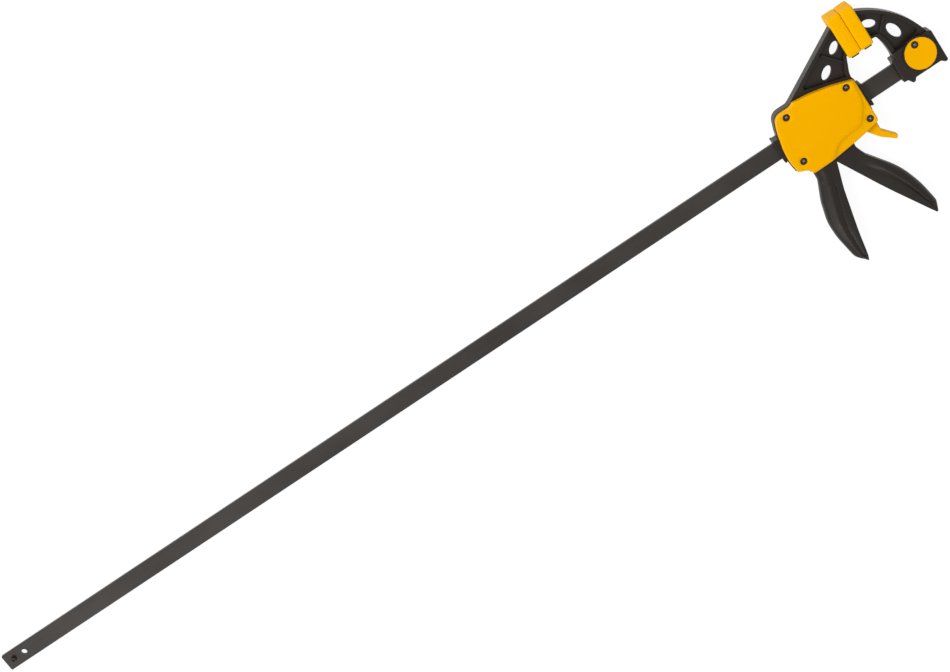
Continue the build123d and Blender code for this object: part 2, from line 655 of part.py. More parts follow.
def body_cover_front():
    """Front cover with the screws' head recesses."""
    cover = cover_blank() - cover_openings()
    for place in COVER_SCREWS:
        cover -= rod(place, SCREW_CLEAR_R, FRAME_HALF_Z, COVER_TOP_Z)
        cover -= rod(place, SCREW_HEAD_SINK_R, SCREW_SEAT_Z, COVER_TOP_Z)
    cover -= rod(RELEASE_PIVOT, BUSH_R + FIT_GAP, FRAME_HALF_Z, BUSH_HALF_Z)
    return cover


def body_cover_back():
    """Back cover with blind holes for the screws' tips."""
    cover = cover_blank() - cover_openings()
    for place in COVER_SCREWS:
        cover -= rod(place, SCREW_R + FIT_GAP, FRAME_HALF_Z, -SCREW_TIP_Z + MOVE_GAP)
    cover -= rod(RELEASE_PIVOT, BUSH_R + FIT_GAP, FRAME_HALF_Z, BUSH_HALF_Z)
    return mirror(cover, Plane.XY)


def cover_screws():
    """The four cover screws."""
    top = SCREW_SEAT_Z + SCREW_HEAD_TALL
    return [cross_head_screw(place, top, SCREW_TIP_Z) for place in COVER_SCREWS]


# ---------------------------------------------------------------- trigger and drive
def trigger_outline():
    """Side outline of the trigger from its nose down to its tip and back."""
    relief_y = NOSE_Y - RELIEF_BELOW_NOSE
    relief_x = NOSE_X + (NOSE_Y - relief_y) * tan(radians(TRIGGER_SWING))
    return outline(
        (NOSE_X, NOSE_Y, 0.6),
        (relief_x, relief_y, 2.0),
        (relief_x, -23.0, 5.0),
        (-80.0, -31.0, 6.0),
        (-85.4, -41.5, 3.5),
        (-54.0, -101.5, 400.0),
        (-25.6, -150.5, 40.0),
        (-20.6, -158.6, 1.8),
        (-14.4, -146.5, 7.0),
        (-18.5, -121.0, 120.0),
        (-28.2, -92.0, 90.0),
        (-52.4, -58.4, 12.0),
        (-57.0, -40.0, 20.0),
        (-57.0, -20.0, 8.0),
        (-60.0, 13.0, 3.0),
        (-66.0, 20.0, 3.0),
        (-72.0, 13.0, 3.0),
    )


def trigger_grip_outline():
    """Wide finger face along the trigger's front edge."""
    return outline(
        (-55.5, -64.5, 2.5),
        (-46.5, -90.0, 60.0),
        (-32.0, -120.0, 60.0),
        (-25.6, -150.5, 3.0),
        (-20.6, -158.6, 1.8),
        (-14.4, -146.5, 7.0),
        (-18.5, -121.0, 120.0),
        (-28.2, -92.0, 90.0),
        (-50.0, -61.7, 3.0),
    )


def trigger_handle():
    """Trigger with a fork over the bar, a drive nose and a wide grip face."""
    lever = both_sides(trigger_outline(), TRIGGER_HALF_Z)
    lever += rod(TRIGGER_PIVOT, TRIGGER_LOBE_R, -TRIGGER_HALF_Z, TRIGGER_HALF_Z)
    grip = both_sides(trigger_grip_outline(), TRIGGER_GRIP_HALF_Z)
    grip = fillet(grip.faces().filter_by(Axis.Z).edges(), TRIGGER_GRIP_ROUND)
    lever += grip
    reach = lever.bounding_box()
    fork_y = (-BAR_WIDTH / 2 - FORK_FLOOR_ROOM, reach.max.Y)
    lever -= block((reach.min.X, reach.max.X), fork_y, (-FORK_SLOT_HALF, FORK_SLOT_HALF))
    return lever - rod(TRIGGER_PIVOT, TRIGGER_PIN_R + TRIGGER_PIN_GAP, -TRIGGER_HALF_Z, TRIGGER_HALF_Z)


def trigger_pin():
    """Steel pivot pin held in the two covers."""
    half = COVER_INNER_Z - FIT_GAP
    pin = rod(TRIGGER_PIVOT, TRIGGER_PIN_R, -half, half)
    return chamfer(pin.edges(), PIN_EDGE)


def drive_plates():
    """Pair of steel plates with windows round the bar."""
    half_y = BAR_WIDTH / 2 + WINDOW_GAP
    half_z = BAR_THICK / 2 + WINDOW_GAP
    wide = (-DRIVE_PLATE_HALF_Z, DRIVE_PLATE_HALF_Z)
    plates = []
    for number in range(DRIVE_PLATES):
        front = DRIVE_FRONT_X - number * DRIVE_PLATE_THICK
        span = (front - DRIVE_PLATE_THICK, front)
        plate = block(span, (DRIVE_PLATE_LOW_Y, DRIVE_PLATE_TOP_Y), wide)
        plate = fillet(plate.edges().filter_by(Axis.X), PLATE_ROUND)
        plates.append(plate - block(span, (-half_y, half_y), (-half_z, half_z)))
    return plates


def drive_spring():
    """Return spring round the bar, between the rear guide and the drive plates."""
    back = REAR_COLLAR_INNER_X + GUIDE_FLANGE
    return coil(DRIVE_SPRING_COIL_R, DRIVE_SPRING_WIRE, DRIVE_SPRING_TURNS, back, DRIVE_BACK_X)


# ---------------------------------------------------------------- brake and release
def brake_plate():
    """Canted steel plate that locks the bar; it squares up when the release is pulled."""
    x, y = BRAKE_PIVOT
    thick = (-BRAKE_THICK / 2, BRAKE_THICK / 2)
    plate = block(thick, (BRAKE_LOW_Y - y, BRAKE_ABOVE_PIVOT), (-BRAKE_HALF_Z, BRAKE_HALF_Z))
    half_y = BAR_WIDTH / 2 + BRAKE_WINDOW_GAP
    half_z = BAR_THICK / 2 + BRAKE_WINDOW_GAP
    plate -= block((-BRAKE_THICK, BRAKE_THICK), (-y - half_y, -y + half_y), (-half_z, half_z))
    return Pos(x, y, 0) * Rot(0, 0, BRAKE_CANT) * plate


def brake_spring():
    """Small spring that keeps the brake plate canted."""
    back = BULKHEAD_X + BULKHEAD_THICK
    arm = BRAKE_PIVOT[1] - BRAKE_SPRING_Y
    low_side = arm - BRAKE_SPRING_COIL_R
    face = BRAKE_PIVOT[0] - BRAKE_THICK / 2 / cos(radians(BRAKE_CANT)) + low_side * tan(radians(BRAKE_CANT))
    return coil(BRAKE_SPRING_COIL_R, BRAKE_SPRING_WIRE, BRAKE_SPRING_TURNS, back, face, BRAKE_SPRING_Y)


def release_lever():
    """Release lever that swings on a bush and pushes the brake plate's lower end."""
    lever = both_sides(
        outline(
            (-40.9, -29.0, 1.5),
            (-40.9, -35.0, 1.5),
            (-30.6, -49.6, 30.0),
            (-15.6, -62.6, 1.4),
            (-12.7, -58.4, 1.4),
            (-25.3, -43.6, 4.0),
            (-24.9, -24.0, 1.0),
            (-33.0, -20.0, 3.0),
        ),
        RELEASE_HALF_Z,
    )
    lever = fillet(lever.faces().filter_by(Axis.Z).edges(), RELEASE_ROUND)
    lever += rod(RELEASE_PIVOT, RELEASE_HUB_R, -TRIGGER_HALF_Z, TRIGGER_HALF_Z)
    return lever - rod(RELEASE_PIVOT, BUSH_R + TRIGGER_PIN_GAP, -TRIGGER_HALF_Z, TRIGGER_HALF_Z)


def release_bush():
    """Steel bush on the lower front cover screw; the release lever turns on it."""
    bush = rod(RELEASE_PIVOT, BUSH_R, -BUSH_HALF_Z, BUSH_HALF_Z)
    return bush - rod(RELEASE_PIVOT, SCREW_CLEAR_R, -BUSH_HALF_Z, BUSH_HALF_Z)


# ---------------------------------------------------------------- write the parts
def build():
    """Make every part, by name."""
    fixed_pad = pad(FIXED_ARM_TOP_Y)
    moving_pad = mirror(pad(MOVING_ARM_TOP_Y), Plane.YZ)
    return {
        "slide_bar": slide_bar(),
        "bar_stop_pin": bar_stop_pin(),
        "fixed_jaw": fixed_jaw(),
        "fixed_jaw_pad": fixed_pad,
        "jaw_cross_pin": jaw_cross_pin(),
        "jaw_cap_front": jaw_cap(1),
        "jaw_cap_back": jaw_cap(-1),
        "jaw_cap_screw": jaw_cap_screw(),
        "slider_frame": slider_frame(),
        "moving_jaw_pad": moving_pad,
        "front_bar_guide": bar_guide(COLLAR_FRONT_X, FRONT_COLLAR_INNER_X),
        "rear_bar_guide": bar_guide(HEAD_BACK_X, REAR_COLLAR_INNER_X),
        "body_cover_front": body_cover_front(),
        "body_cover_back": body_cover_back(),
        "cover_screws": cover_screws(),
        "trigger_handle": trigger_handle(),
        "trigger_pin": trigger_pin(),
        "drive_plates": drive_plates(),
        "drive_spring": drive_spring(),
        "brake_plate": brake_plate(),
        "brake_spring": brake_spring(),
        "release_lever": release_lever(),
        "release_bush": release_bush(),
    }


os.makedirs("parts", exist_ok=True)
for name, shape in build().items():
    whole = Compound(children=shape) if isinstance(shape, list) else shape
    export_step(whole, f"parts/{name}.step")
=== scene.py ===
"""Looks of a quick release bar clamp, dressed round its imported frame.

Everything is in metres in the clamp's own frame: +X runs along the bar towards the fixed jaw, +Y from the
bar to the jaw tips and +Z out of the front cover.  Outlines are in millimetres and are scaled once, by MM.
"""

import logging
from collections.abc import Callable, Sequence
from dataclasses import dataclass, field
from enum import Enum
from math import atan2, ceil, cos, degrees, pi, radians, sin, tan

import bmesh
import bpy
from bpy.types import ID, Material, Mesh, Node, NodeSocket, Object, Scene, World
from mathutils import Matrix, Vector
from mathutils.geometry import delaunay_2d_cdt


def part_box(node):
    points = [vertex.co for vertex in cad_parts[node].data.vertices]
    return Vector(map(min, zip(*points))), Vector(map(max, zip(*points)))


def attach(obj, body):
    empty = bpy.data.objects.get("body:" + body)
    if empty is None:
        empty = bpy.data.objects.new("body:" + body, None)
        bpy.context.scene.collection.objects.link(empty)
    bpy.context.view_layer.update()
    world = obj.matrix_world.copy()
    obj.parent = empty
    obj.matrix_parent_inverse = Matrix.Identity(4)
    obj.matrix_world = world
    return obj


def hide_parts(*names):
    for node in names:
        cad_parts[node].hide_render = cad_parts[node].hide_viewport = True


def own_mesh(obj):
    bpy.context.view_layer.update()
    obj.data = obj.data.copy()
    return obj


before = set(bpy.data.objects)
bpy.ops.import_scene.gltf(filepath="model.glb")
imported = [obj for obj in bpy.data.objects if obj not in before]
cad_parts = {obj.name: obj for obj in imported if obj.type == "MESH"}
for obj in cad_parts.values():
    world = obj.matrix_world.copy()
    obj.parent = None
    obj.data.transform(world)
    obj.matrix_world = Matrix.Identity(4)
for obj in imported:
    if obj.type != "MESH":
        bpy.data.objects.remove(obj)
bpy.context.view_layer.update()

log = logging.getLogger("clamp")

MM = 0.001

Point = Span = tuple[float, float]
Place = Corner = Colour = tuple[float, float, float]
Prism = tuple[Sequence[Point], float, float]


class Side(Enum):
    """Which half of the clamp a mirrored piece is on."""

    FRONT = 1
    BACK = -1


class Body(Enum):
    """The rigid bodies that pieces ride on."""

    BAR = "bar"
    SLIDER = "slider"
    TRIGGER = "trigger"
    RELEASE = "release"


class Slot(Enum):
    """Names of the material slots that new pieces are passed with."""

    BLACK_PLASTIC = "black_plastic"
    YELLOW_PLASTIC = "yellow_plastic"
    YELLOW_PAD = "yellow_pad"
    SPRING_STEEL = "spring_steel"


# Degrees above which an edge stays sharp, for plain pieces, CAD copies, covers, pads and lofts.
PIECE_SHARP, COPY_SHARP, COVER_SHARP, PAD_SHARP, LOFT_SHARP = 38.0, 40.0, 45.0, 60.0, 62.0
# Degrees above which an edge of a CAD copy is rounded, and the rounding's segments.
BEVEL_FROM, BEVEL_STEPS = 42.0, 3
# Height of an even triangle with sides of 1, between the rows of a face's points.
ROW_HEIGHT = 0.866
# Half the height, in millimetres, of a prism that cuts through everything.
THROUGH = 20.0
# The stretch of a noise's values that a spread takes up.
NOISE_SPAN = (0.3, 0.7)
# Axes of the screws.
COVER_SCREWS: list[Point] = [(-104.1, 29.8), (-34.2, 20.7), (-29.8, -23.3), (-113.3, -21.9)]
CAP_SCREW: Point = (50.2, 17.8)


# ---- outlines
def rounded(corners: Sequence[Corner], closed: bool = True, turn: float = 9.0) -> list[Point]:
    """Polyline through corners, each rounded by its own radius.

    Args:
        corners: (x, y, radius) triples in millimetres.
        closed: whether the last corner joins the first.
        turn: degrees of arc per segment.
    """
    points: list[Point] = []
    count = len(corners)
    for i, (x, y, r) in enumerate(corners):
        at_end = not closed and i in (0, count - 1)
        if at_end or r == 0:
            points.append((x, y))
            continue
        here = Vector((x, y))
        to_before = (Vector(corners[i - 1][:2]) - here).normalized()
        to_after = (Vector(corners[(i + 1) % count][:2]) - here).normalized()
        angle = to_before.angle(to_after)
        centre = here + (to_before + to_after).normalized() * (r / sin(angle / 2))
        first = here + to_before * (r / tan(angle / 2)) - centre
        last = here + to_after * (r / tan(angle / 2)) - centre
        start = atan2(first.y, first.x)
        sweep = (atan2(last.y, last.x) - start + pi) % (2 * pi) - pi
        steps = max(1, ceil(abs(degrees(sweep)) / turn))
        for k in range(steps + 1):
            a = start + sweep * k / steps
            points.append((centre.x + r * cos(a), centre.y + r * sin(a)))
    return points


def subdivided(points: Sequence[Point], step: float, closed: bool = True) -> list[Point]:
    """Points with extra ones on every stretch longer than step."""
    found: list[Point] = []
    count = len(points)
    for i in range(count if closed else count - 1):
        a, b = Vector(points[i]), Vector(points[(i + 1) % count])
        pieces = max(1, ceil((b - a).length / step))
        found += [tuple(a.lerp(b, k / pieces)) for k in range(pieces)]
    if not closed:
        found.append(points[-1])
    return found


def evenly(points: Sequence[Point], count: int) -> list[Point]:
    """An open polyline resampled to count points at equal distances."""
    lengths = [0.0]
    for a, b in zip(points, points[1:]):
        lengths.append(lengths[-1] + (Vector(b) - Vector(a)).length)
    found: list[Point] = []
    at = 0
    for k in range(count):
        want = lengths[-1] * k / (count - 1)
        while at < len(points) - 2 and lengths[at + 1] < want:
            at += 1
        share = (want - lengths[at]) / max(lengths[at + 1] - lengths[at], 1e-9)
        found.append(tuple(Vector(points[at]).lerp(Vector(points[at + 1]), share)))
    return found


def counter_clockwise(points: list[Point]) -> list[Point]:
    """The same loop, turned so that its inside is on the left."""
    turn = sum(a[0] * b[1] - b[0] * a[1] for a, b in zip(points, points[1:] + points[:1]))
    return points if turn > 0 else points[::-1]


def inset(points: Sequence[Point], distance: float) -> list[Point]:
    """A counter-clockwise loop moved inwards by a distance."""
    found: list[Point] = []
    count = len(points)
    for i in range(count):
        before, here, after = Vector(points[i - 1]), Vector(points[i]), Vector(points[(i + 1) % count])
        a, b = (here - before).normalized(), (after - here).normalized()
        normal = Vector((-(a.y + b.y), a.x + b.x)).normalized()
        stretch = 1 / max(0.5, normal.dot(Vector((-a.y, a.x))))
        found.append(tuple(here + normal * distance * stretch))
    return found


def quarter(steps: int) -> list[float]:
    """Angles from 0 to a quarter turn."""
    return [k * pi / 2 / steps for k in range(steps + 1)]


def circle(centre: Point, radius: float, count: int = 40) -> list[Point]:
    """Counter-clockwise circle."""
    turns = (2 * pi * k / count for k in range(count))
    return [(centre[0] + radius * cos(a), centre[1] + radius * sin(a)) for a in turns]


def inside(point: Point, loop: Sequence[Point]) -> bool:
    """Whether a point lies in a closed loop."""
    x, y = point
    odd = False
    for (x0, y0), (x1, y1) in zip(loop, [*loop[1:], loop[0]]):
        if (y0 > y) != (y1 > y) and x < x0 + (y - y0) * (x1 - x0) / (y1 - y0):
            odd = not odd
    return odd


def beside(point: Point, line: Sequence[Point]) -> float:
    """Distance from an open line, positive on its left."""
    best, side = 1e9, 1.0
    p = Vector(point)
    for a, b in zip(line, line[1:]):
        start, run = Vector(a), Vector(b) - Vector(a)
        share = min(1.0, max(0.0, (p - start).dot(run) / run.length_squared))
        away = p - (start + run * share)
        if away.length < best:
            best = away.length
            side = 1.0 if run.x * away.y - run.y * away.x > 0 else -1.0
    return best * side


def mixed(a: float, b: float, share: float) -> float:
    """A value on the way from a to b."""
    return a + (b - a) * share


def smooth(low: float, high: float, value: float) -> float:
    """Smooth step from 0 at low to 1 at high."""
    t = min(1.0, max(0.0, (value - low) / (high - low)))
    return t * t * (3 - 2 * t)


# ---- meshes
def linked(name: str, data: ID) -> Object:
    """A new object, in the scene."""
    thing = bpy.data.objects.new(name, data)
    bpy.context.scene.collection.objects.link(thing)
    return thing


class Shell:
    """Points and faces of one piece, collected in millimetres."""

    def __init__(self) -> None:
        """Start empty."""
        self.points: list[Place] = []
        self.faces: list[tuple[int, ...]] = []

    def ring(self, outline: Sequence[Point], height: float | Sequence[float]) -> list[int]:
        """Add a loop of points at one height, or at a height for each."""
        heights = [height] * len(outline) if isinstance(height, (int, float)) else height
        return self.loop([(x, y, z) for (x, y), z in zip(outline, heights)])

    def loop(self, places: Sequence[Place]) -> list[int]:
        """Add a loop of points in space and return their numbers."""
        start = len(self.points)
        self.points += places
        return list(range(start, len(self.points)))

    def rings(self, loops: Sequence[Sequence[int]]) -> None:
        """Join each loop to the next, of as many points, with four-sided faces."""
        for a, b in zip(loops, loops[1:]):
            for i in range(len(a)):
                j = (i + 1) % len(a)
                self.faces.append((a[i], a[j], b[j], b[i]))

    def tube(self, loops: Sequence[Sequence[int]]) -> None:
        """Join each loop to the next and close both ends."""
        self.rings(loops)
        self.faces += [tuple(loops[0][::-1]), tuple(loops[-1])]

    def cap(
        self,
        outer: Sequence[int],
        holes: Sequence[Sequence[int]],
        height: Callable[[Point], float],
        grid: float,
        lines: Sequence[Sequence[Point]] = (),
        up: bool = True,
    ) -> None:
        """Fill the space inside a loop and outside its holes with triangles.

        Args:
            outer: the loop's points.
            holes: loops left open.
            height: gives the height of each new point.
            grid: distance between new points.
            lines: open lines that edges follow.
            up: whether the faces look up Z.
        """
        loops = [[self.points[i][:2] for i in loop] for loop in (outer, *holes)]
        known = [i for loop in (outer, *holes) for i in loop]
        flat = [p for loop in loops for p in loop]
        edges, start = [], 0
        for loop in loops:
            edges += [(start + i, start + (i + 1) % len(loop)) for i in range(len(loop))]
            start += len(loop)

        def clear(p: Point, others: Sequence[Point], reach: float) -> bool:
            """Whether a point is beyond a reach of others, along X or Y."""
            return all(abs(p[0] - q[0]) > reach or abs(p[1] - q[1]) > reach for q in others)

        def free(p: Point, reach: float) -> bool:
            """Whether a point is in the space, clear of the loops."""
            in_hole = any(inside(p, loop) for loop in loops[1:])
            return inside(p, loops[0]) and not in_hole and clear(p, flat, reach)

        extra: list[Point] = []
        for line in lines:
            last = None
            for p in line:
                if free(p, 0.25 * grid):
                    extra.append(p)
                    here = len(flat) + len(extra) - 1
                    if last is not None:
                        edges.append((last, here))
                    last = here
                else:
                    last = None
        on_lines = list(extra)
        (left, right), (low, high) = ((min(values), max(values)) for values in zip(*loops[0]))
        for row in range(ceil((high - low) / (grid * ROW_HEIGHT)) + 1):
            for column in range(ceil((right - left) / grid) + 1):
                p = (left + (column + 0.5 * (row % 2)) * grid, low + row * grid * ROW_HEIGHT)
                if clear(p, on_lines, 0.5 * grid) and free(p, 0.55 * grid):
                    extra.append(p)
        coords = [Vector(p) for p in [*flat, *extra]]
        found, _, triangles, origin, _, _ = delaunay_2d_cdt(coords, edges, [], 0, 1e-6)
        numbers = []
        for p, sources in zip(found, origin):
            old = [k for k in sources if k < len(known)]
            if old:
                numbers.append(known[old[0]])
            else:
                self.points.append((p.x, p.y, height((p.x, p.y))))
                numbers.append(len(self.points) - 1)
        place = {source: k for k, sources in enumerate(origin) for source in sources}
        rim = [(place[a], place[b]) for a, b in edges[: len(known)]]
        starts = rim[: len(outer)] + [(b, a) for a, b in rim[len(outer) :]]
        for triangle in reached(triangles, starts, rim):
            order = triangle if up else triangle[::-1]
            self.faces.append(tuple(numbers[k] for k in order))

    def mirrored(self) -> "Shell":
        """The same shell on the other side of Z = 0."""
        twin = Shell()
        twin.points = [(x, y, -z) for x, y, z in self.points]
        twin.faces = [face[::-1] for face in self.faces]
        return twin

    def piece(self, name: str, sharp: float = PIECE_SHARP) -> Object:
        """Make the mesh object, welded and oriented, with edges kept sharp above an angle."""
        mesh = bpy.data.meshes.new(name)
        mesh.from_pydata([(x * MM, y * MM, z * MM) for x, y, z in self.points], [], self.faces)
        work = bmesh.new()
        work.from_mesh(mesh)
        bmesh.ops.remove_doubles(work, verts=work.verts, dist=1e-6)
        bmesh.ops.dissolve_degenerate(work, edges=work.edges, dist=1e-7)
        bmesh.ops.recalc_face_normals(work, faces=work.faces)
        work.to_mesh(mesh)
        work.free()
        smooth_but_for(mesh, sharp)
        return linked(name, mesh)


def reached(
    triangles: Sequence[Sequence[int]],
    starts: Sequence[tuple[int, int]],
    walls: Sequence[tuple[int, int]],
) -> list[Sequence[int]]:
    """The triangles that a flood from some directed edges reaches without crossing a wall."""
    owner = {(t[i], t[(i + 1) % 3]): n for n, t in enumerate(triangles) for i in range(3)}
    closed = {frozenset(pair) for pair in walls}
    waiting = [owner[pair] for pair in starts if pair in owner]
    kept: set[int] = set()
    while waiting:
        number = waiting.pop()
        if number in kept:
            continue
        kept.add(number)
        a, b, c = triangles[number]
        across = [pair for pair in ((b, a), (c, b), (a, c)) if frozenset(pair) not in closed]
        waiting += [owner[pair] for pair in across if pair in owner]
    return [triangles[number] for number in sorted(kept)]


def smooth_but_for(mesh: Mesh, sharp: float) -> None:
    """Shade a mesh smooth, apart from edges above an angle."""
    mesh.polygons.foreach_set("use_smooth", [True] * len(mesh.polygons))
    mesh.set_sharp_from_angle(angle=radians(sharp))


def rounded_copy(node: str, name: str, edge: float, carve: Sequence[Prism] = ()) -> Object:
    """A CAD node's shape with its hard edges rounded.

    Args:
        node: the CAD node that is copied.
        name: the new piece's name.
        edge: radius of the rounding, in millimetres.
        carve: prisms along Z, as (outline, low, high) in millimetres, that are cut away first.
    """
    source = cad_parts[node].data
    mesh = bpy.data.meshes.new(name)
    corners = [tuple(v.co) for v in source.vertices]
    mesh.from_pydata(corners, [], [tuple(p.vertices) for p in source.polygons])
    thing = linked(name, mesh)
    for number, (outline, low, high) in enumerate(carve):
        cutter = Shell()
        line = counter_clockwise(list(outline))
        cutter.tube([cutter.ring(line, low), cutter.ring(line, high)])
        prism = cutter.piece(f"{name}_cutter_{number}")
        cut = thing.modifiers.new("cut", "BOOLEAN")
        cut.object, cut.operation, cut.solver = prism, "DIFFERENCE", "EXACT"
        applied(thing)
        bpy.data.objects.remove(prism)
    smooth_but_for(thing.data, COPY_SHARP)
    bevel = thing.modifiers.new("edges", "BEVEL")
    bevel.width, bevel.segments, bevel.limit_method = edge * MM, BEVEL_STEPS, "ANGLE"
    bevel.angle_limit, bevel.miter_outer, bevel.harden_normals = radians(BEVEL_FROM), "MITER_ARC", True
    applied(thing)
    return thing


def applied(thing: Object) -> None:
    """Bake an object's modifiers into its mesh."""
    graph = bpy.context.evaluated_depsgraph_get()
    done = thing.evaluated_get(graph)
    mesh = bpy.data.meshes.new_from_object(done, preserve_all_data_layers=True, depsgraph=graph)
    thing.modifiers.clear()
    old, thing.data = thing.data, mesh
    bpy.data.meshes.remove(old)


def dress(thing: Object, material: Material) -> None:
    """Give a whole piece one finish."""
    thing.data.materials.clear()
    thing.data.materials.append(material)
    thing.data.polygons.foreach_set("material_index", [0] * len(thing.data.polygons))


def settle(thing: Object, body: Body, slot: Slot, material: Material, *nodes: str) -> None:
    """Let a piece ride on its body, take its finish, and stand for its CAD nodes."""
    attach(thing, body.value)
    if nodes:
        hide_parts(*nodes)
    dress(thing, material)
    log.info("%s: %d faces on %s", thing.name, len(thing.data.polygons), body.value)


# ---- finishes
class Graph:
    """A material's or world's nodes, with short ways to add and join them."""

    def __init__(self, owner: Material | World) -> None:
        """Take over the nodes."""
        owner.use_nodes = True
        self.tree = owner.node_tree

    def add(self, kind: str, **values: object) -> Node:
        """Add a node and set its properties or, failing that, its inputs."""
        node = self.tree.nodes.new(kind)
        for key, value in values.items():
            if hasattr(node, key):
                setattr(node, key, value)
            else:
                node.inputs[key].default_value = value
        return node

    def join(self, source: NodeSocket, target: NodeSocket) -> None:
        """Link two sockets."""
        self.tree.links.new(source, target)

    def spread(
        self, source: NodeSocket, low: float, high: float, start: float, end: float
    ) -> NodeSocket:
        """Map a value's stretch from start to end onto low to high."""
        node = self.add("ShaderNodeMapRange")
        for key, value in (("From Min", start), ("From Max", end), ("To Min", low), ("To Max", high)):
            node.inputs[key].default_value = value
        self.join(source, node.inputs["Value"])
        return node.outputs["Result"]

    def math(self, operation: str, a: NodeSocket, b: NodeSocket) -> NodeSocket:
        """Join two values by an operation."""
        node = self.add("ShaderNodeMath", operation=operation)
        self.join(a, node.inputs[0])
        self.join(b, node.inputs[1])
        return node.outputs["Value"]

    def looked_at(self) -> NodeSocket:
        """1 for rays from the camera and for reflected and transmitted ones, else 0."""
        path = self.add("ShaderNodeLightPath")
        found = path.outputs["Is Camera Ray"]
        for name in ("Is Glossy Ray", "Is Transmission Ray"):
            found = self.math("MAXIMUM", found, path.outputs[name])
        return found


class Surface(Graph):
    """A new material's nodes."""

    def __init__(self, name: str) -> None:
        """Make a material with only its shader and output."""
        self.material = bpy.data.materials.new(name)
        super().__init__(self.material)
        self.shader = self.tree.nodes["Principled BSDF"]
        self.place = self.add("ShaderNodeTexCoord").outputs["Object"]

    def put(self, source: NodeSocket, name: str) -> None:
        """Let a socket drive one of the shader's inputs."""
        self.join(source, self.shader.inputs[name])

    def stretched(self, scale: Place) -> NodeSocket:
        """Object coordinates scaled along each axis."""
        mapping = self.add("ShaderNodeMapping")
        mapping.inputs["Scale"].default_value = scale
        self.join(self.place, mapping.inputs["Vector"])
        return mapping.outputs["Vector"]

    def noise(self, scale: float, detail: float, place: NodeSocket | None = None) -> NodeSocket:
        """Noise from 0 to 1, scale in cycles per metre."""
        node = self.add("ShaderNodeTexNoise", Scale=scale, Detail=detail)
        self.join(place or self.place, node.inputs["Vector"])
        return node.outputs["Fac"]

    def ramp(self, source: NodeSocket, stops: Sequence[tuple[float, Colour]]) -> NodeSocket:
        """Colour along a ramp."""
        node = self.add("ShaderNodeValToRGB")
        band = node.color_ramp.elements
        for element, (position, colour) in zip(band, stops, strict=True):
            element.position, element.color = position, (*colour, 1)
        self.join(source, node.inputs["Fac"])
        return node.outputs["Color"]

    def mix(self, share: NodeSocket, a: NodeSocket, b: Colour) -> NodeSocket:
        """Blend from a colour's socket to a plain colour."""
        node = self.add("ShaderNodeMix", data_type="RGBA")
        self.join(share, node.inputs["Factor"])
        first, second = (socket for socket in node.inputs if socket.type == "RGBA")
        self.join(a, first)
        second.default_value = (*b, 1)
        return next(socket for socket in node.outputs if socket.type == "RGBA")

    def bump(
        self, height: NodeSocket, depth: float, strength: float, under: NodeSocket | None = None
    ) -> NodeSocket:
        """Surface relief of a depth in metres."""
        node = self.add("ShaderNodeBump", Strength=strength, Distance=depth)
        self.join(height, node.inputs["Height"])
        if under is not None:
            self.join(under, node.inputs["Normal"])
        return node.outputs["Normal"]


@dataclass(frozen=True)
class Moulded:
    """Moulded plastic with a fine grain and slightly uneven gloss; scales in cycles per metre."""

    name: str
    colour: Colour
    deep: Colour
    gloss: Span
    shine: float = 0.3
    tint: Colour = (1.0, 1.0, 1.0)
    grain: float = 2600.0
    grain_depth: float = 0.00003
    mottle: float = 14.0
    haze: float = 60.0
    waves: float = 38.0
    wave_depth: float = 0.0004

    def material(self) -> Material:
        """Build the material."""
        g = Surface(self.name)
        g.put(g.ramp(g.noise(self.mottle, 2.0), [(0.35, self.deep), (0.65, self.colour)]), "Base Color")
        g.put(g.spread(g.noise(self.haze, 4.0), *self.gloss, *NOISE_SPAN), "Roughness")
        fine = g.bump(g.noise(self.grain, 2.0), self.grain_depth, 0.35)
        g.put(g.bump(g.noise(self.waves, 2.0), self.wave_depth, 0.12, fine), "Normal")
        g.shader.inputs["Specular IOR Level"].default_value = self.shine
        g.shader.inputs["Specular Tint"].default_value = (*self.tint, 1)
        return g.material


@dataclass(frozen=True)
class Steel:
    """Steel with drawing marks along X, and darker patches of oxide; scales in cycles per metre."""

    name: str
    colour: Colour
    deep: Colour
    gloss: Span
    metal: float
    patches: float = 22.0
    marks: float = 420.0
    pits: float = 900.0
    depth: float = 0.00002

    def material(self) -> Material:
        """Build the material."""
        g = Surface(self.name)
        patches = g.noise(self.patches, 6.0, g.stretched((0.5, 1.0, 1.0)))
        g.put(g.ramp(patches, [(0.38, self.deep), (0.62, self.colour)]), "Base Color")
        streaks = g.noise(self.marks, 3.0, g.stretched((0.03, 1.0, 1.0)))
        g.put(g.spread(streaks, *self.gloss, *NOISE_SPAN), "Roughness")
        fine = g.bump(streaks, self.depth, 0.4)
        g.put(g.bump(g.noise(self.pits, 3.0), self.depth, 0.3, fine), "Normal")
        g.shader.inputs["Metallic"].default_value = self.metal
        return g.material


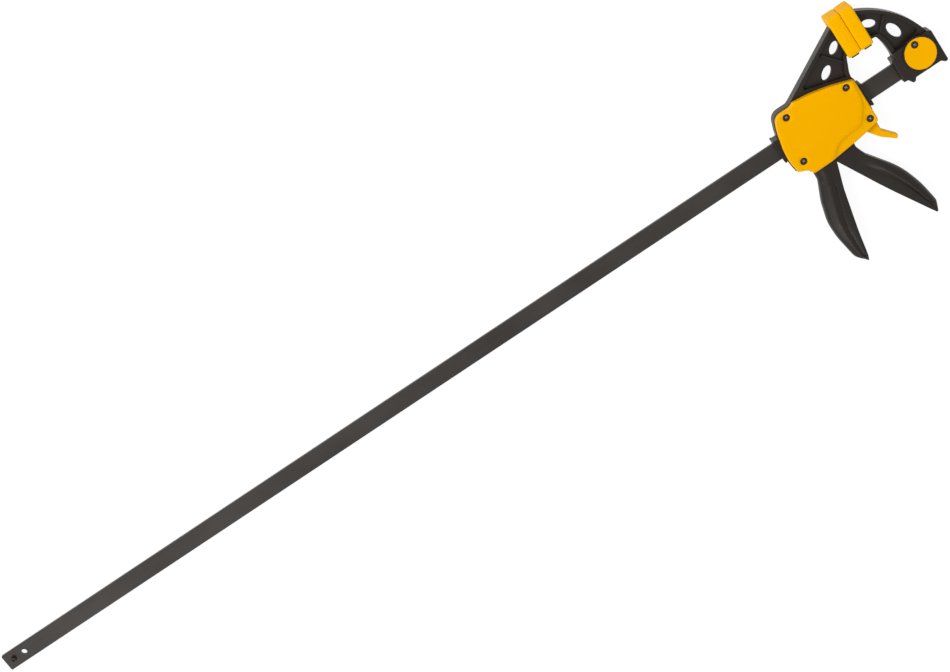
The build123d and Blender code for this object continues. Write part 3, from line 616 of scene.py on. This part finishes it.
@dataclass(frozen=True)
class ScrewSteel:
    """Black oxide on screws along Z, with a painted glint of light grey in their cross recesses; lengths in
    millimetres.
    """

    name: str
    colour: Colour
    painted_glint: Colour
    axes: tuple[Point, ...]
    reach: float = 2.4
    below: float = 13.15
    blend: float = 0.1
    darker: float = 0.6
    metal: float = 0.6
    gloss: Span = (0.3, 0.42)

    def material(self) -> Material:
        """Build the material."""
        g = Surface(self.name)
        split = g.add("ShaderNodeSeparateXYZ")
        g.join(g.place, split.inputs["Vector"])
        nearest: NodeSocket | None = None
        for x, y in self.axes:
            away = g.add("ShaderNodeVectorMath", operation="DISTANCE")
            away.inputs[1].default_value = (x * MM, y * MM, 0.0)
            g.join(g.stretched((1.0, 1.0, 0.0)), away.inputs[0])
            found = away.outputs["Value"]
            nearest = found if nearest is None else g.math("MINIMUM", nearest, found)
        # Painted glint: the recess, near each axis and below the head's top, is coloured light grey.
        near = g.spread(nearest, 1.0, 0.0, self.reach * MM, (self.reach + self.blend) * MM)
        deep = g.spread(split.outputs["Z"], 1.0, 0.0, (self.below - self.blend) * MM, self.below * MM)
        dark = tuple(self.darker * c for c in self.colour)
        coated = g.ramp(g.noise(900.0, 3.0), [(0.3, dark), (0.7, self.colour)])
        g.put(g.mix(g.math("MULTIPLY", near, deep), coated, self.painted_glint), "Base Color")
        g.put(g.spread(g.noise(300.0, 2.0), *self.gloss, *NOISE_SPAN), "Roughness")
        g.shader.inputs["Metallic"].default_value = self.metal
        return g.material


class Palette:
    """Every finish on the clamp, built once."""

    def __init__(self) -> None:
        """Build the materials."""
        amber = (1.0, 0.7, 0.0)
        self.black = Moulded(
            "black_nylon", (0.0170, 0.0122, 0.0088), (0.0145, 0.0104, 0.0075), (0.34, 0.44), 0.22
        ).material()
        self.guide = Moulded(
            "guide_nylon", (0.015, 0.014, 0.013), (0.011, 0.010, 0.009), (0.5, 0.6)
        ).material()
        self.yellow = Moulded(
            "yellow_plastic", (0.90, 0.425, 0.0), (0.88, 0.410, 0.0), (0.34, 0.42), 0.25, amber,
            grain=1500.0, grain_depth=0.00001,
        ).material()
        self.pad = Moulded(
            "yellow_vinyl", (0.94, 0.460, 0.0), (0.91, 0.440, 0.0), (0.50, 0.60), 0.12, amber,
            grain=2200.0, grain_depth=0.00002,
        ).material()
        # The screws' second colour is a painted glint in their cross recesses.
        self.screw = ScrewSteel(
            "black_oxide", (0.022, 0.021, 0.020), (0.30, 0.29, 0.28), (*COVER_SCREWS, CAP_SCREW)
        ).material()
        self.bar, self.zinc, self.plate, self.spring = (
            Steel(*values).material()
            for values in (
                ("blackened_steel", (0.036, 0.031, 0.027), (0.026, 0.022, 0.019), (0.34, 0.46), 0.55),
                ("bright_zinc", (0.55, 0.54, 0.52), (0.42, 0.41, 0.39), (0.25, 0.38), 1.0),
                ("hardened_plate", (0.20, 0.19, 0.18), (0.13, 0.12, 0.12), (0.3, 0.45), 1.0),
                ("spring_wire", (0.34, 0.33, 0.32), (0.22, 0.21, 0.20), (0.22, 0.35), 1.0),
            )
        )


# ---- lofts
class Loft:
    """A closed piece whose sections stand between two rails, in millimetres.

    Places along it are shares of its length, and distances across it count from the back rail.
    Where a section gets narrow, shares of its width keep its features from crossing.
    """

    name: str
    stations: int
    back: tuple[Corner, ...]
    front: tuple[Corner, ...]

    def half(self, width: float, share: float) -> list[Point]:
        """Upper half of one section, as (distance from the back, height)."""
        raise NotImplementedError

    def build(self) -> Object:
        """Loft the sections from end to end."""
        rails = (rounded(corners, closed=False, turn=3.0) for corners in (self.back, self.front))
        shell = Shell()
        loops = []
        for k, (a, b) in enumerate(zip(*(evenly(rail, self.stations) for rail in rails))):
            start, run = Vector(a), Vector(b) - Vector(a)
            upper = self.half(run.length, k / (self.stations - 1))
            whole = upper + [(d, -z) for d, z in upper[::-1] if z > 0]
            loops.append(shell.loop([(*(start + run.normalized() * d), z) for d, z in whole]))
        shell.tube(loops)
        return shell.piece(self.name, LOFT_SHARP)


# ---- sliding head
BODY_CORNERS: list[Corner] = [
    (-21.8, 23.6, 4.0), (-21.8, -31.6, 6.0), (-49.7, -37.0, 150.0), (-84.0, -41.0, 100.0),
    (-110.3, -41.5, 4.0), (-115.6, -34.2, 5.0), (-125.6, -29.6, 4.0), (-127.4, -14.0, 40.0),
    (-126.4, 1.2, 60.0), (-121.4, 21.0, 60.0), (-115.6, 37.7, 12.0), (-96.0, 37.6, 5.0),
    (-90.3, 40.2, 4.0), (-70.2, 37.9, 90.0), (-45.0, 31.9, 120.0),
]


@dataclass
class BodyCover:
    """Yellow half shell of the sliding head, with a raised panel, a faint fold and screw sinks."""

    side: Side
    step_in: float = 1.0
    outline_step: float = 2.5
    base: float = 7.0
    top: float = 15.0
    panel_rise: float = 1.3
    edge: float = 1.5
    edge_steps: int = 7
    skin: float = 2.2
    wall: float = 1.4
    sink: float = 4.15
    sink_edge: float = 0.12
    seat: float = 12.0
    post: float = 4.35
    post_sides: int = 32
    fold_y: float = -12.0
    fold_from: float = -122.0
    fold_points: int = 44
    fold_slope: float = 0.022
    crown_rise: float = 0.35
    crown_reach: Span = (-74.0, 50.0)
    crease_half: Span = (1.2, 1.8)
    crease_softens: Span = (5.0, -20.0)
    line_step: float = 2.0
    face_grid: float = 3.2
    seat_grid: float = 2.5
    post_grid: float = 3.0
    roof_grid: float = 8.0
    crease: list[Point] = field(init=False)
    crease_corners: tuple[Corner, ...] = (
        (-23.0, 45.0, 0.0), (-25.6, 12.0, 30.0), (-26.6, -3.0, 25.0),
        (-40.5, -24.0, 14.0), (-72.0, -26.0, 25.0), (-88.0, -45.0, 0.0),
    )

    def __post_init__(self) -> None:
        """Lay out the crease that bounds the panel."""
        self.crease = rounded(self.crease_corners, closed=False)

    def level(self, p: Point) -> float:
        """Height of the cover's face at a point."""
        middle, reach = self.crown_reach
        narrow, wide = self.crease_half
        edge = mixed(narrow, wide, smooth(*self.crease_softens, p[1]))
        share = smooth(-edge, edge, -beside(p, self.crease))
        fold = self.fold_slope * max(0.0, self.fold_y - p[1])
        crown = self.crown_rise * ((p[0] - middle) / reach) ** 2
        return self.top - self.panel_rise * (1 - share) - fold - crown * share

    def build(self) -> Object:
        """Make the shell with its rounded edge, screw sinks, posts and hollow."""
        shell = Shell()
        outline = counter_clockwise(rounded(BODY_CORNERS, turn=6.0))
        loop = inset(subdivided(outline, self.outline_step), self.step_in)
        outside = [shell.ring(loop, self.base)]
        for k in range(self.edge_steps + 1):
            a = k / self.edge_steps * pi / 2
            rim = inset(loop, self.edge * (1 - cos(a)))
            outside.append(shell.ring(rim, [self.level(p) - self.edge * (1 - sin(a)) for p in rim]))
        shell.rings(outside)
        sinks = []
        if self.side is Side.FRONT:
            sinks = [self.screw_sink(shell, place) for place in COVER_SCREWS]
        narrow = self.crease_half[0]
        lines = [self.beside_crease(narrow * k / 2) for k in (2, 1, 0, -1, -2)]
        lines.append([(self.fold_from + self.line_step * k, self.fold_y) for k in range(self.fold_points)])
        shell.cap(outside[-1], sinks, self.level, self.face_grid, lines)
        hollow = inset(loop, self.wall)
        roof = self.top - self.skin
        inner = [outside[0], shell.ring(hollow, self.base), shell.ring(hollow, roof)]
        shell.rings(inner)
        posts = []
        for place in COVER_SCREWS:
            outline = circle(place, self.post, self.post_sides)
            post = [shell.ring(outline, roof), shell.ring(outline, self.base)]
            shell.rings(post)
            shell.cap(post[1], [], lambda p: self.base, self.post_grid, up=False)
            posts.append(post[0])
        shell.cap(inner[-1], posts, lambda p: roof, self.roof_grid, up=False)
        if self.side is Side.BACK:
            shell = shell.mirrored()
        return shell.piece(f"body_cover_{self.side.name.lower()}_shell", COVER_SHARP)

    def screw_sink(self, shell: Shell, place: Point) -> list[int]:
        """Add one screw's round sink and return its mouth."""
        rims = []
        for share in (0.0, 0.7, 1.0):
            ring = circle(place, self.sink + self.sink_edge * (1 - share))
            rims.append(shell.ring(ring, [self.level(p) - self.sink_edge * share * share for p in ring]))
        rims.append(shell.ring(circle(place, self.sink), self.seat))
        shell.rings(rims)
        shell.cap(rims[-1], [], lambda p: self.seat, self.seat_grid)
        return rims[0]

    def beside_crease(self, away: float) -> list[Point]:
        """A line along the panel's crease, moved sideways."""
        line = subdivided(self.crease, self.line_step, closed=False)
        moved = []
        for before, p, after in zip(line[:1] + line, line, line[1:] + line[-1:]):
            run = (Vector(after) - Vector(before)).normalized()
            moved.append((p[0] - run.y * away, p[1] + run.x * away))
        return moved


@dataclass
class HandGrip(Loft):
    """Fixed handle: a channel with a crowned palm side, a crease and a flat band along its open side."""

    name: str = "fixed_handle_grip"
    palm_top: float = 11.0
    palm_fall: float = 2.1
    neck_top: float = 10.0
    neck_fall: float = 0.6
    tip_half: float = 7.0
    tip_from: float = 0.93
    crown_at: float = 0.62
    shoulder: float = 0.62
    shoulder_turn: float = 2.2
    slope_share: float = 0.8
    groove: float = 0.5
    groove_grows: Span = (0.42, 0.85)
    groove_sides: Span = (0.5, 1.3)
    edge: float = 1.1
    cheek: float = 7.3
    wall: float = 4.0
    lip: float = 0.3
    channel_ends: Span = (0.93, 0.86)
    band: Span = (8.0, 10.0)
    band_grows: Span = (0.3, 0.6)
    band_most: float = 0.4
    palm_from: Span = (0.185, 0.30)
    palm_blend: Span = (0.006, 0.02)
    palm_blend_grows: Span = (8.0, 2.0)
    palm_line: float = 0.35
    palm_line_half: float = 0.009
    palm_line_grows: Span = (3.0, 7.0)
    floor_skin: float = 1.6
    stations: int = 160
    back: tuple[Corner, ...] = (
        (-110.0, -26.0, 0.0), (-111.0, -53.0, 14.0), (-120.8, -76.5, 60.0), (-127.0, -101.0, 60.0),
        (-126.6, -121.0, 60.0), (-122.0, -149.5, 12.0), (-112.3, -160.7, 0.0),
    )
    front: tuple[Corner, ...] = (
        (-82.0, -26.0, 0.0), (-82.0, -40.5, 6.0), (-92.5, -75.0, 100.0),
        (-103.5, -125.0, 200.0), (-108.8, -155.6, 4.0), (-110.4, -160.5, 0.0),
    )

    def crowned(self, crease: float, top: float, fall: float, sloped: float) -> list[Point]:
        """Profile from the back edge over the crown's top down to the crease, which lies lower by fall.

        The back is round where sloped is 0 and a long slope up to the crown where it is 1.
        """
        peak = self.crown_at * crease
        points = []
        for a in quarter(16):
            slope = self.shoulder * sin(min(self.shoulder_turn * a, pi / 2))
            slope += (1 - self.shoulder) * (1 - cos(a))
            points.append((peak * (1 - cos(a)), top * mixed(sin(a), slope, sloped)))
        return points + [(peak + (crease - peak) * k / 8, top - fall * (k / 8) ** 2) for k in range(1, 9)]

    def half(self, width: float, share: float) -> list[Point]:
        """Upper half of one section, as (distance from the back, height)."""
        band = min(mixed(*self.band, smooth(*self.band_grows, share)), self.band_most * width)
        crease = width - band
        tip = smooth(1.0, self.tip_from, share)
        palm_top, neck_top = (mixed(self.tip_half, top, tip) for top in (self.palm_top, self.neck_top))
        palm = self.crowned(crease, palm_top, self.palm_fall * tip, self.slope_share)
        neck = self.crowned(crease, neck_top, self.neck_fall * tip, 0.0)
        least, more = self.palm_blend
        points: list[Point] = []
        for (d, high_z), (_, low_z) in zip(palm, neck):
            start = mixed(*self.palm_from, d / crease)
            blend = least + more * smooth(*self.palm_blend_grows, d)
            grown = smooth(start - blend, start + blend, share)
            line = smooth(self.palm_line_half, 0.0, abs(share - start)) * smooth(*self.palm_line_grows, d)
            points.append((d, mixed(low_z, high_z, grown) - self.palm_line * line))
        level = neck[-1][1]
        deep = self.groove * smooth(*self.groove_grows, share) * tip
        first, last = self.groove_sides
        points += [(crease + min(first, 0.1 * band), level - deep), (crease + min(last, 0.3 * band), level)]
        edge = min(self.edge, 0.3 * band)
        points += [(width - edge + edge * sin(a), level - edge + edge * cos(a)) for a in quarter(4)]
        cheek = min(self.cheek, level - self.floor_skin)
        closing = smooth(*self.channel_ends, share)
        floor = mixed(width - self.lip, self.wall, closing)
        return points + [(width, cheek + self.lip), (width - self.lip * closing, cheek), (floor, cheek)]


def corner_cut(x: float, y: float, radius: float, along: int, up: int) -> list[Point]:
    """What rounding takes off a square corner whose material lies against the two signs."""
    middle_x, middle_y = x - along * radius, y - up * radius
    arc = [(middle_x + along * radius * sin(a), middle_y + up * radius * cos(a)) for a in quarter(8)]
    return [(x + along, y + up), (middle_x, y + up), *arc, (x + along, middle_y)]


def bar_between(name: str, start: Point, end: Point, width: float, height: float) -> Object:
    """A rib with broken long edges between two points, the same on both sides of Z = 0."""
    a, b = Vector(start), Vector(end)
    run = (b - a).normalized()
    edge = 0.12 * width
    shell = Shell()
    loops = []
    for lift, narrow in ((-height, edge), (edge - height, 0.0), (height - edge, 0.0), (height, edge)):
        side = Vector((-run.y, run.x)) * (width / 2 - narrow)
        loops.append(shell.loop([(*p, lift) for p in (a - side, b - side, b + side, a + side)]))
    shell.tube(loops)
    return shell.piece(name)


@dataclass
class SlidingHead:
    """Black frame with its jaw arm and collars, the handle and the two covers."""

    palette: Palette
    edge: float = 0.5
    half: float = 7.0
    web: float = 2.0
    collar_round: float = 2.2
    collar_ends: Span = (-130.3, -18.0)
    collar_lip: float = 14.6
    plain_handle: tuple[Point, ...] = ((-135.0, -170.0), (-78.0, -170.0), (-78.0, -41.7), (-135.0, -41.7))
    handle_root: tuple[Point, ...] = ((-113.5, -45.0), (-80.0, -45.0), (-80.0, -20.0), (-113.5, -20.0))
    arm_recess: tuple[Point, ...] = (
        (-71.0, 46.0), (-73.0, 42.2), (-27.8, 28.5), (-26.9, 29.3), (-26.9, 34.5), (-30.0, 38.0)
    )
    rib: tuple[Point, Point] = ((-22.4, 43.7), (-38.4, 62.6))
    rib_size: Span = (3.1, 5.35)

    def carvings(self) -> list[Prism]:
        """What comes off the CAD's frame: handle, raised faces, arm recess and collar corners."""
        found: list[Prism] = [(self.plain_handle, -THROUGH, THROUGH)]
        for outline, from_z in ((self.handle_root, self.half), (self.arm_recess, self.web)):
            found += [(outline, from_z, THROUGH), (outline, -THROUGH, -from_z)]
        for x, along in zip(self.collar_ends, (-1, 1)):
            for up in (-1, 1):
                corner = corner_cut(x, up * self.collar_lip, self.collar_round, along, up)
                found.append((corner, -THROUGH, THROUGH))
        return found

    def build(self) -> None:
        """Make and dress the head."""
        body = rounded_copy("slider_frame", "head_frame", self.edge, self.carvings())
        settle(body, Body.SLIDER, Slot.BLACK_PLASTIC, self.palette.black, "slider_frame")
        for piece in (HandGrip().build(), bar_between("moving_arm_rib", *self.rib, *self.rib_size)):
            settle(piece, Body.SLIDER, Slot.BLACK_PLASTIC, self.palette.black)
        for cover in (BodyCover(Side.FRONT), BodyCover(Side.BACK, step_in=2.0, edge=2.6)):
            node = f"body_cover_{cover.side.name.lower()}"
            settle(cover.build(), Body.SLIDER, Slot.YELLOW_PLASTIC, self.palette.yellow, node)


# ---- trigger and release lever
@dataclass
class TriggerGrip(Loft):
    """Trigger below the head: a flat back half, a faint crease and a swelling finger face."""

    name: str = "trigger_grip"
    flat: float = 6.7
    swell: float = 9.6
    edge: float = 0.9
    round_front: float = 8.5
    crease_at: float = 0.5
    crease_deep: float = 0.3
    crease_half: float = 0.5
    grows: Span = (0.10, 0.50)
    shrinks: Span = (1.0, 0.90)
    stations: int = 130
    back: tuple[Corner, ...] = (
        (-84.9, -40.6, 0.0), (-84.7, -43.0, 2.0), (-54.0, -101.5, 400.0),
        (-25.6, -150.5, 40.0), (-21.4, -157.3, 0.0),
    )
    front: tuple[Corner, ...] = (
        (-57.0, -34.6, 0.0), (-58.0, -44.5, 14.0), (-52.6, -58.2, 14.0), (-28.2, -92.0, 90.0),
        (-18.5, -121.0, 120.0), (-14.4, -146.5, 7.0), (-19.4, -157.2, 0.0),
    )

    def half(self, width: float, share: float) -> list[Point]:
        """Upper half of one section, as (distance from the back edge, height)."""
        grown = smooth(*self.grows, share) * smooth(*self.shrinks, share)
        edge = min(self.edge, 0.2 * width)
        crease = self.crease_at * width
        side = min(self.crease_half, 0.1 * width)
        top = mixed(self.flat, self.swell, grown)
        across = min(mixed(edge, self.round_front, grown), 0.45 * width)
        down = mixed(edge, top, grown)
        rise = width - across - crease - side
        points = [(edge * (1 - cos(a)), self.flat - edge * (1 - sin(a))) for a in quarter(4)]
        points += [(0.8 * crease, self.flat), (crease - side, self.flat)]
        points += [(crease, self.flat - self.crease_deep * grown), (crease + side, self.flat)]
        for k, a in enumerate(quarter(8)[1:], 1):
            points.append((crease + side + rise * k / 8, mixed(self.flat, top, sin(a))))
        points += [(width - across + across * sin(a), top - down + down * cos(a)) for a in quarter(12)[1:]]
        return points + [(width, 0.0)]


@dataclass
class Levers:
    """The two levers that the hand pulls."""

    palette: Palette
    trigger_edge: float = 0.9
    lever_edge: float = 0.5
    plain_trigger: tuple[Point, ...] = (
        (-95.0, -42.8), (-40.0, -30.8), (0.0, -30.8), (0.0, -170.0), (-95.0, -170.0)
    )

    def build(self) -> None:
        """Make and dress the trigger and the release lever."""
        carve = [(self.plain_trigger, -THROUGH, THROUGH)]
        head = rounded_copy("trigger_handle", "trigger_head", self.trigger_edge, carve)
        settle(head, Body.TRIGGER, Slot.BLACK_PLASTIC, self.palette.black, "trigger_handle")
        settle(TriggerGrip().build(), Body.TRIGGER, Slot.BLACK_PLASTIC, self.palette.black)
        lever = rounded_copy("release_lever", "release_lever_body", self.lever_edge)
        settle(lever, Body.RELEASE, Slot.YELLOW_PLASTIC, self.palette.yellow, "release_lever")


# ---- jaws
@dataclass
class JawPad:
    """Soft cap over a jaw plate: crisp round its clamping face, fuller in the middle of its sides.

    The clamping face looks along X, to the side that faces gives as 1 or -1.
    """

    name: str
    node: str
    faces: int
    corner: float = 2.2
    face_edge: float = 1.1
    back_edge: float = 1.5
    crown: float = 0.25
    side_steps: int = 6
    rim_step: float = 5.0

    def stations(self, depth: float) -> list[Point]:
        """Sections as (distance behind the clamping face, distance inside the widest outline)."""
        starts = (pi / 2, pi / 3, pi / 6)
        front = [(self.face_edge * (1 - sin(a)), self.face_edge * (1 - cos(a))) for a in starts]
        back = [(depth - self.back_edge * (1 - sin(a)), self.back_edge * (1 - cos(a))) for a in quarter(4)]
        first, last = self.face_edge, depth - self.back_edge
        middle = [(first + (last - first) * k / self.side_steps, 0.0) for k in range(self.side_steps)]
        return [(d, i + self.crown * (2 * d / depth - 1) ** 2) for d, i in front + middle + back]

    def build(self) -> Object:
        """Loft the rounded box along X inside the CAD pad's own box."""
        low, high = (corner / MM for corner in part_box(self.node))
        middle, half = (low + high) / 2, (high - low) / 2
        corners = [(y * half.y, z * half.z, self.corner) for y, z in ((-1, -1), (1, -1), (1, 1), (-1, 1))]
        widest = subdivided(rounded(corners), self.rim_step)
        shell = Shell()
        loops = []
        for depth, inwards in self.stations(2 * half.x):
            x = low.x + depth if self.faces < 0 else high.x - depth
            narrow, short = 1 - inwards / half.z, 1 - inwards / half.y
            loops.append(shell.loop([(x, middle.y + y * short, middle.z + z * narrow) for y, z in widest]))
        shell.tube(loops)
        return shell.piece(self.name, PAD_SHARP)


@dataclass
class Jaws:
    """Fixed jaw and the pads of both jaws."""

    palette: Palette
    edge: float = 0.6

    def build(self) -> None:
        """Make and dress the jaw and the pads."""
        jaw = rounded_copy("fixed_jaw", "fixed_jaw_casting", self.edge)
        settle(jaw, Body.BAR, Slot.BLACK_PLASTIC, self.palette.black, "fixed_jaw")
        for name, node, faces, body in (
            ("fixed_pad_skin", "fixed_jaw_pad", -1, Body.BAR),
            ("moving_pad_skin", "moving_jaw_pad", 1, Body.SLIDER),
        ):
            pad = JawPad(name, node, faces).build()
            settle(pad, body, Slot.YELLOW_PAD, self.palette.pad, node)


# ---- springs
@dataclass(frozen=True)
class Coil:
    """A spring along X, with the joint that drives it, its fixed end and the share that it keeps."""

    node: str
    joint: str
    fixed_x: float
    keep: float


@dataclass
class Springs:
    """The two return springs inside the head."""

    palette: Palette
    coils: tuple[Coil, ...] = (
        Coil("drive_spring", "drive_stroke", -116.3, 0.84),
        Coil("brake_spring", "brake_tilt", -53.3, 0.58),
    )

    def build(self) -> None:
        """Make and dress the springs."""
        for coil in self.coils:
            thing = linked(f"{coil.node}_wire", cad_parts[coil.node].data.copy())
            settle(thing, Body.SLIDER, Slot.SPRING_STEEL, self.palette.spring, coil.node)
            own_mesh(thing)


# ---- the CAD's own pieces
@dataclass
class Metalwork:
    """The pieces whose CAD shape shows as it is."""

    palette: Palette

    def dress(self) -> None:
        """Give each CAD node its finish."""
        for material, nodes in (
            (self.palette.bar, ("slide_bar", "bar_stop_pin")),
            (self.palette.zinc, ("jaw_cross_pin", "trigger_pin", "release_bush")),
            (self.palette.yellow, ("jaw_cap_front", "jaw_cap_back")),
            (self.palette.screw, ("jaw_cap_screw", "cover_screws")),
            (self.palette.guide, ("front_bar_guide", "rear_bar_guide")),
            (self.palette.plate, ("drive_plates", "brake_plate")),
        ):
            for node in nodes:
                dress(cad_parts[node], material)
                log.info("%s keeps its shape", node)


# ---- studio
@dataclass
class Studio:
    """Pale floor, soft light from the upper left and the camera."""

    eye: Place = (-0.24611, 0.76342, 2.32499)
    aim: Place = (-0.51305, 0.01500, 0.0)
    up: Place = (0.550714, 0.774016, -0.312394)
    lens: float = 85.263
    sensor: float = 36.0
    floor_x: float = -0.5
    floor_z: float = -0.0158
    bright_side: Place = (-0.55, 0.58, 0.60)
    world_light: Span = (0.20, 0.80)
    world_span: Span = (-0.3, 0.9)
    lamps: tuple[tuple[str, Place, float, float], ...] = (
        ("key", (-0.48, 0.50, 0.72), 1.35, 25.0),
        ("low", (-0.52, -0.42, 0.74), 0.70, 20.0),
    )
    floor_size: float = 6.0
    floor_grey: float = 0.72
    floor_rough: float = 0.9
    floor_glow: float = 1.10
    shadow_share: float = 0.15

    def build(self) -> None:
        """Set the view, the camera, the lights and the floor."""
        scene = bpy.context.scene
        scene.view_settings.view_transform = "Standard"
        self.camera(scene)
        for lamp in self.lamps:
            self.lamp(*lamp)
        self.world(scene)
        self.floor()

    def camera(self, scene: Scene) -> None:
        """Place the camera."""
        data = bpy.data.cameras.new("camera")
        data.lens, data.sensor_width = self.lens, self.sensor
        data.clip_start, data.clip_end = 0.05, 20.0
        camera = linked("camera", data)
        back = (Vector(self.eye) - Vector(self.aim)).normalized()
        right = Vector(self.up).cross(back).normalized()
        turn = Matrix((right, back.cross(right), back)).transposed().to_4x4()
        camera.matrix_world = Matrix.Translation(self.eye) @ turn
        scene.camera = camera

    def lamp(self, name: str, towards: Place, strength: float, soft: float) -> None:
        """Add a soft distant lamp that shines from a direction."""
        data = bpy.data.lights.new(name, "SUN")
        data.energy, data.angle = strength, radians(soft)
        lamp = linked(name, data)
        lamp.rotation_mode = "QUATERNION"
        lamp.rotation_quaternion = Vector(towards).to_track_quat("Z", "Y")

    def world(self, scene: Scene) -> None:
        """Light from all round, brighter on one side, and white behind the floor."""
        scene.world = bpy.data.worlds.new("studio")
        g = Graph(scene.world)
        background = g.tree.nodes["Background"]
        background.inputs["Color"].default_value = (1, 1, 1, 1)
        facing = g.add("ShaderNodeVectorMath", operation="DOT_PRODUCT")
        facing.inputs[1].default_value = Vector(self.bright_side).normalized()
        g.join(g.add("ShaderNodeTexCoord").outputs["Generated"], facing.inputs[0])
        dome = g.spread(facing.outputs["Value"], *self.world_light, *self.world_span)
        seen = g.add("ShaderNodeMix", B=1.0)
        g.join(dome, seen.inputs["A"])
        g.join(g.looked_at(), seen.inputs["Factor"])
        g.join(seen.outputs["Result"], background.inputs["Strength"])

    def floor(self) -> None:
        """A wide pale floor that the camera sees as white, with the clamp's faint shadow on it."""
        work = bmesh.new()
        bmesh.ops.create_grid(work, x_segments=8, y_segments=8, size=self.floor_size)
        mesh = bpy.data.meshes.new("floor")
        work.to_mesh(mesh)
        work.free()
        floor = linked("floor", mesh)
        floor.location = (self.floor_x, 0.0, self.floor_z)
        g = Surface("pale_floor")
        g.shader.inputs["Base Color"].default_value = (*[self.floor_grey] * 3, 1)
        g.shader.inputs["Roughness"].default_value = self.floor_rough
        glow = g.add("ShaderNodeEmission", Strength=self.floor_glow)
        share = g.add("ShaderNodeMath", operation="MULTIPLY")
        share.inputs[1].default_value = 1.0 - self.shadow_share
        g.join(g.looked_at(), share.inputs[0])
        blend = g.add("ShaderNodeMixShader")
        g.join(share.outputs[0], blend.inputs["Fac"])
        g.join(g.shader.outputs["BSDF"], blend.inputs[1])
        g.join(glow.outputs["Emission"], blend.inputs[2])
        g.join(blend.outputs["Shader"], g.tree.nodes["Material Output"].inputs["Surface"])
        mesh.materials.append(g.material)


def main() -> None:
    """Dress the clamp, sub-assembly by sub-assembly."""
    logging.basicConfig(level=logging.INFO, format="%(name)s: %(message)s")
    Studio().build()
    palette = Palette()
    Metalwork(palette).dress()
    for assembly in (SlidingHead, Levers, Jaws, Springs):
        assembly(palette).build()


if __name__ == "__main__":
    main()
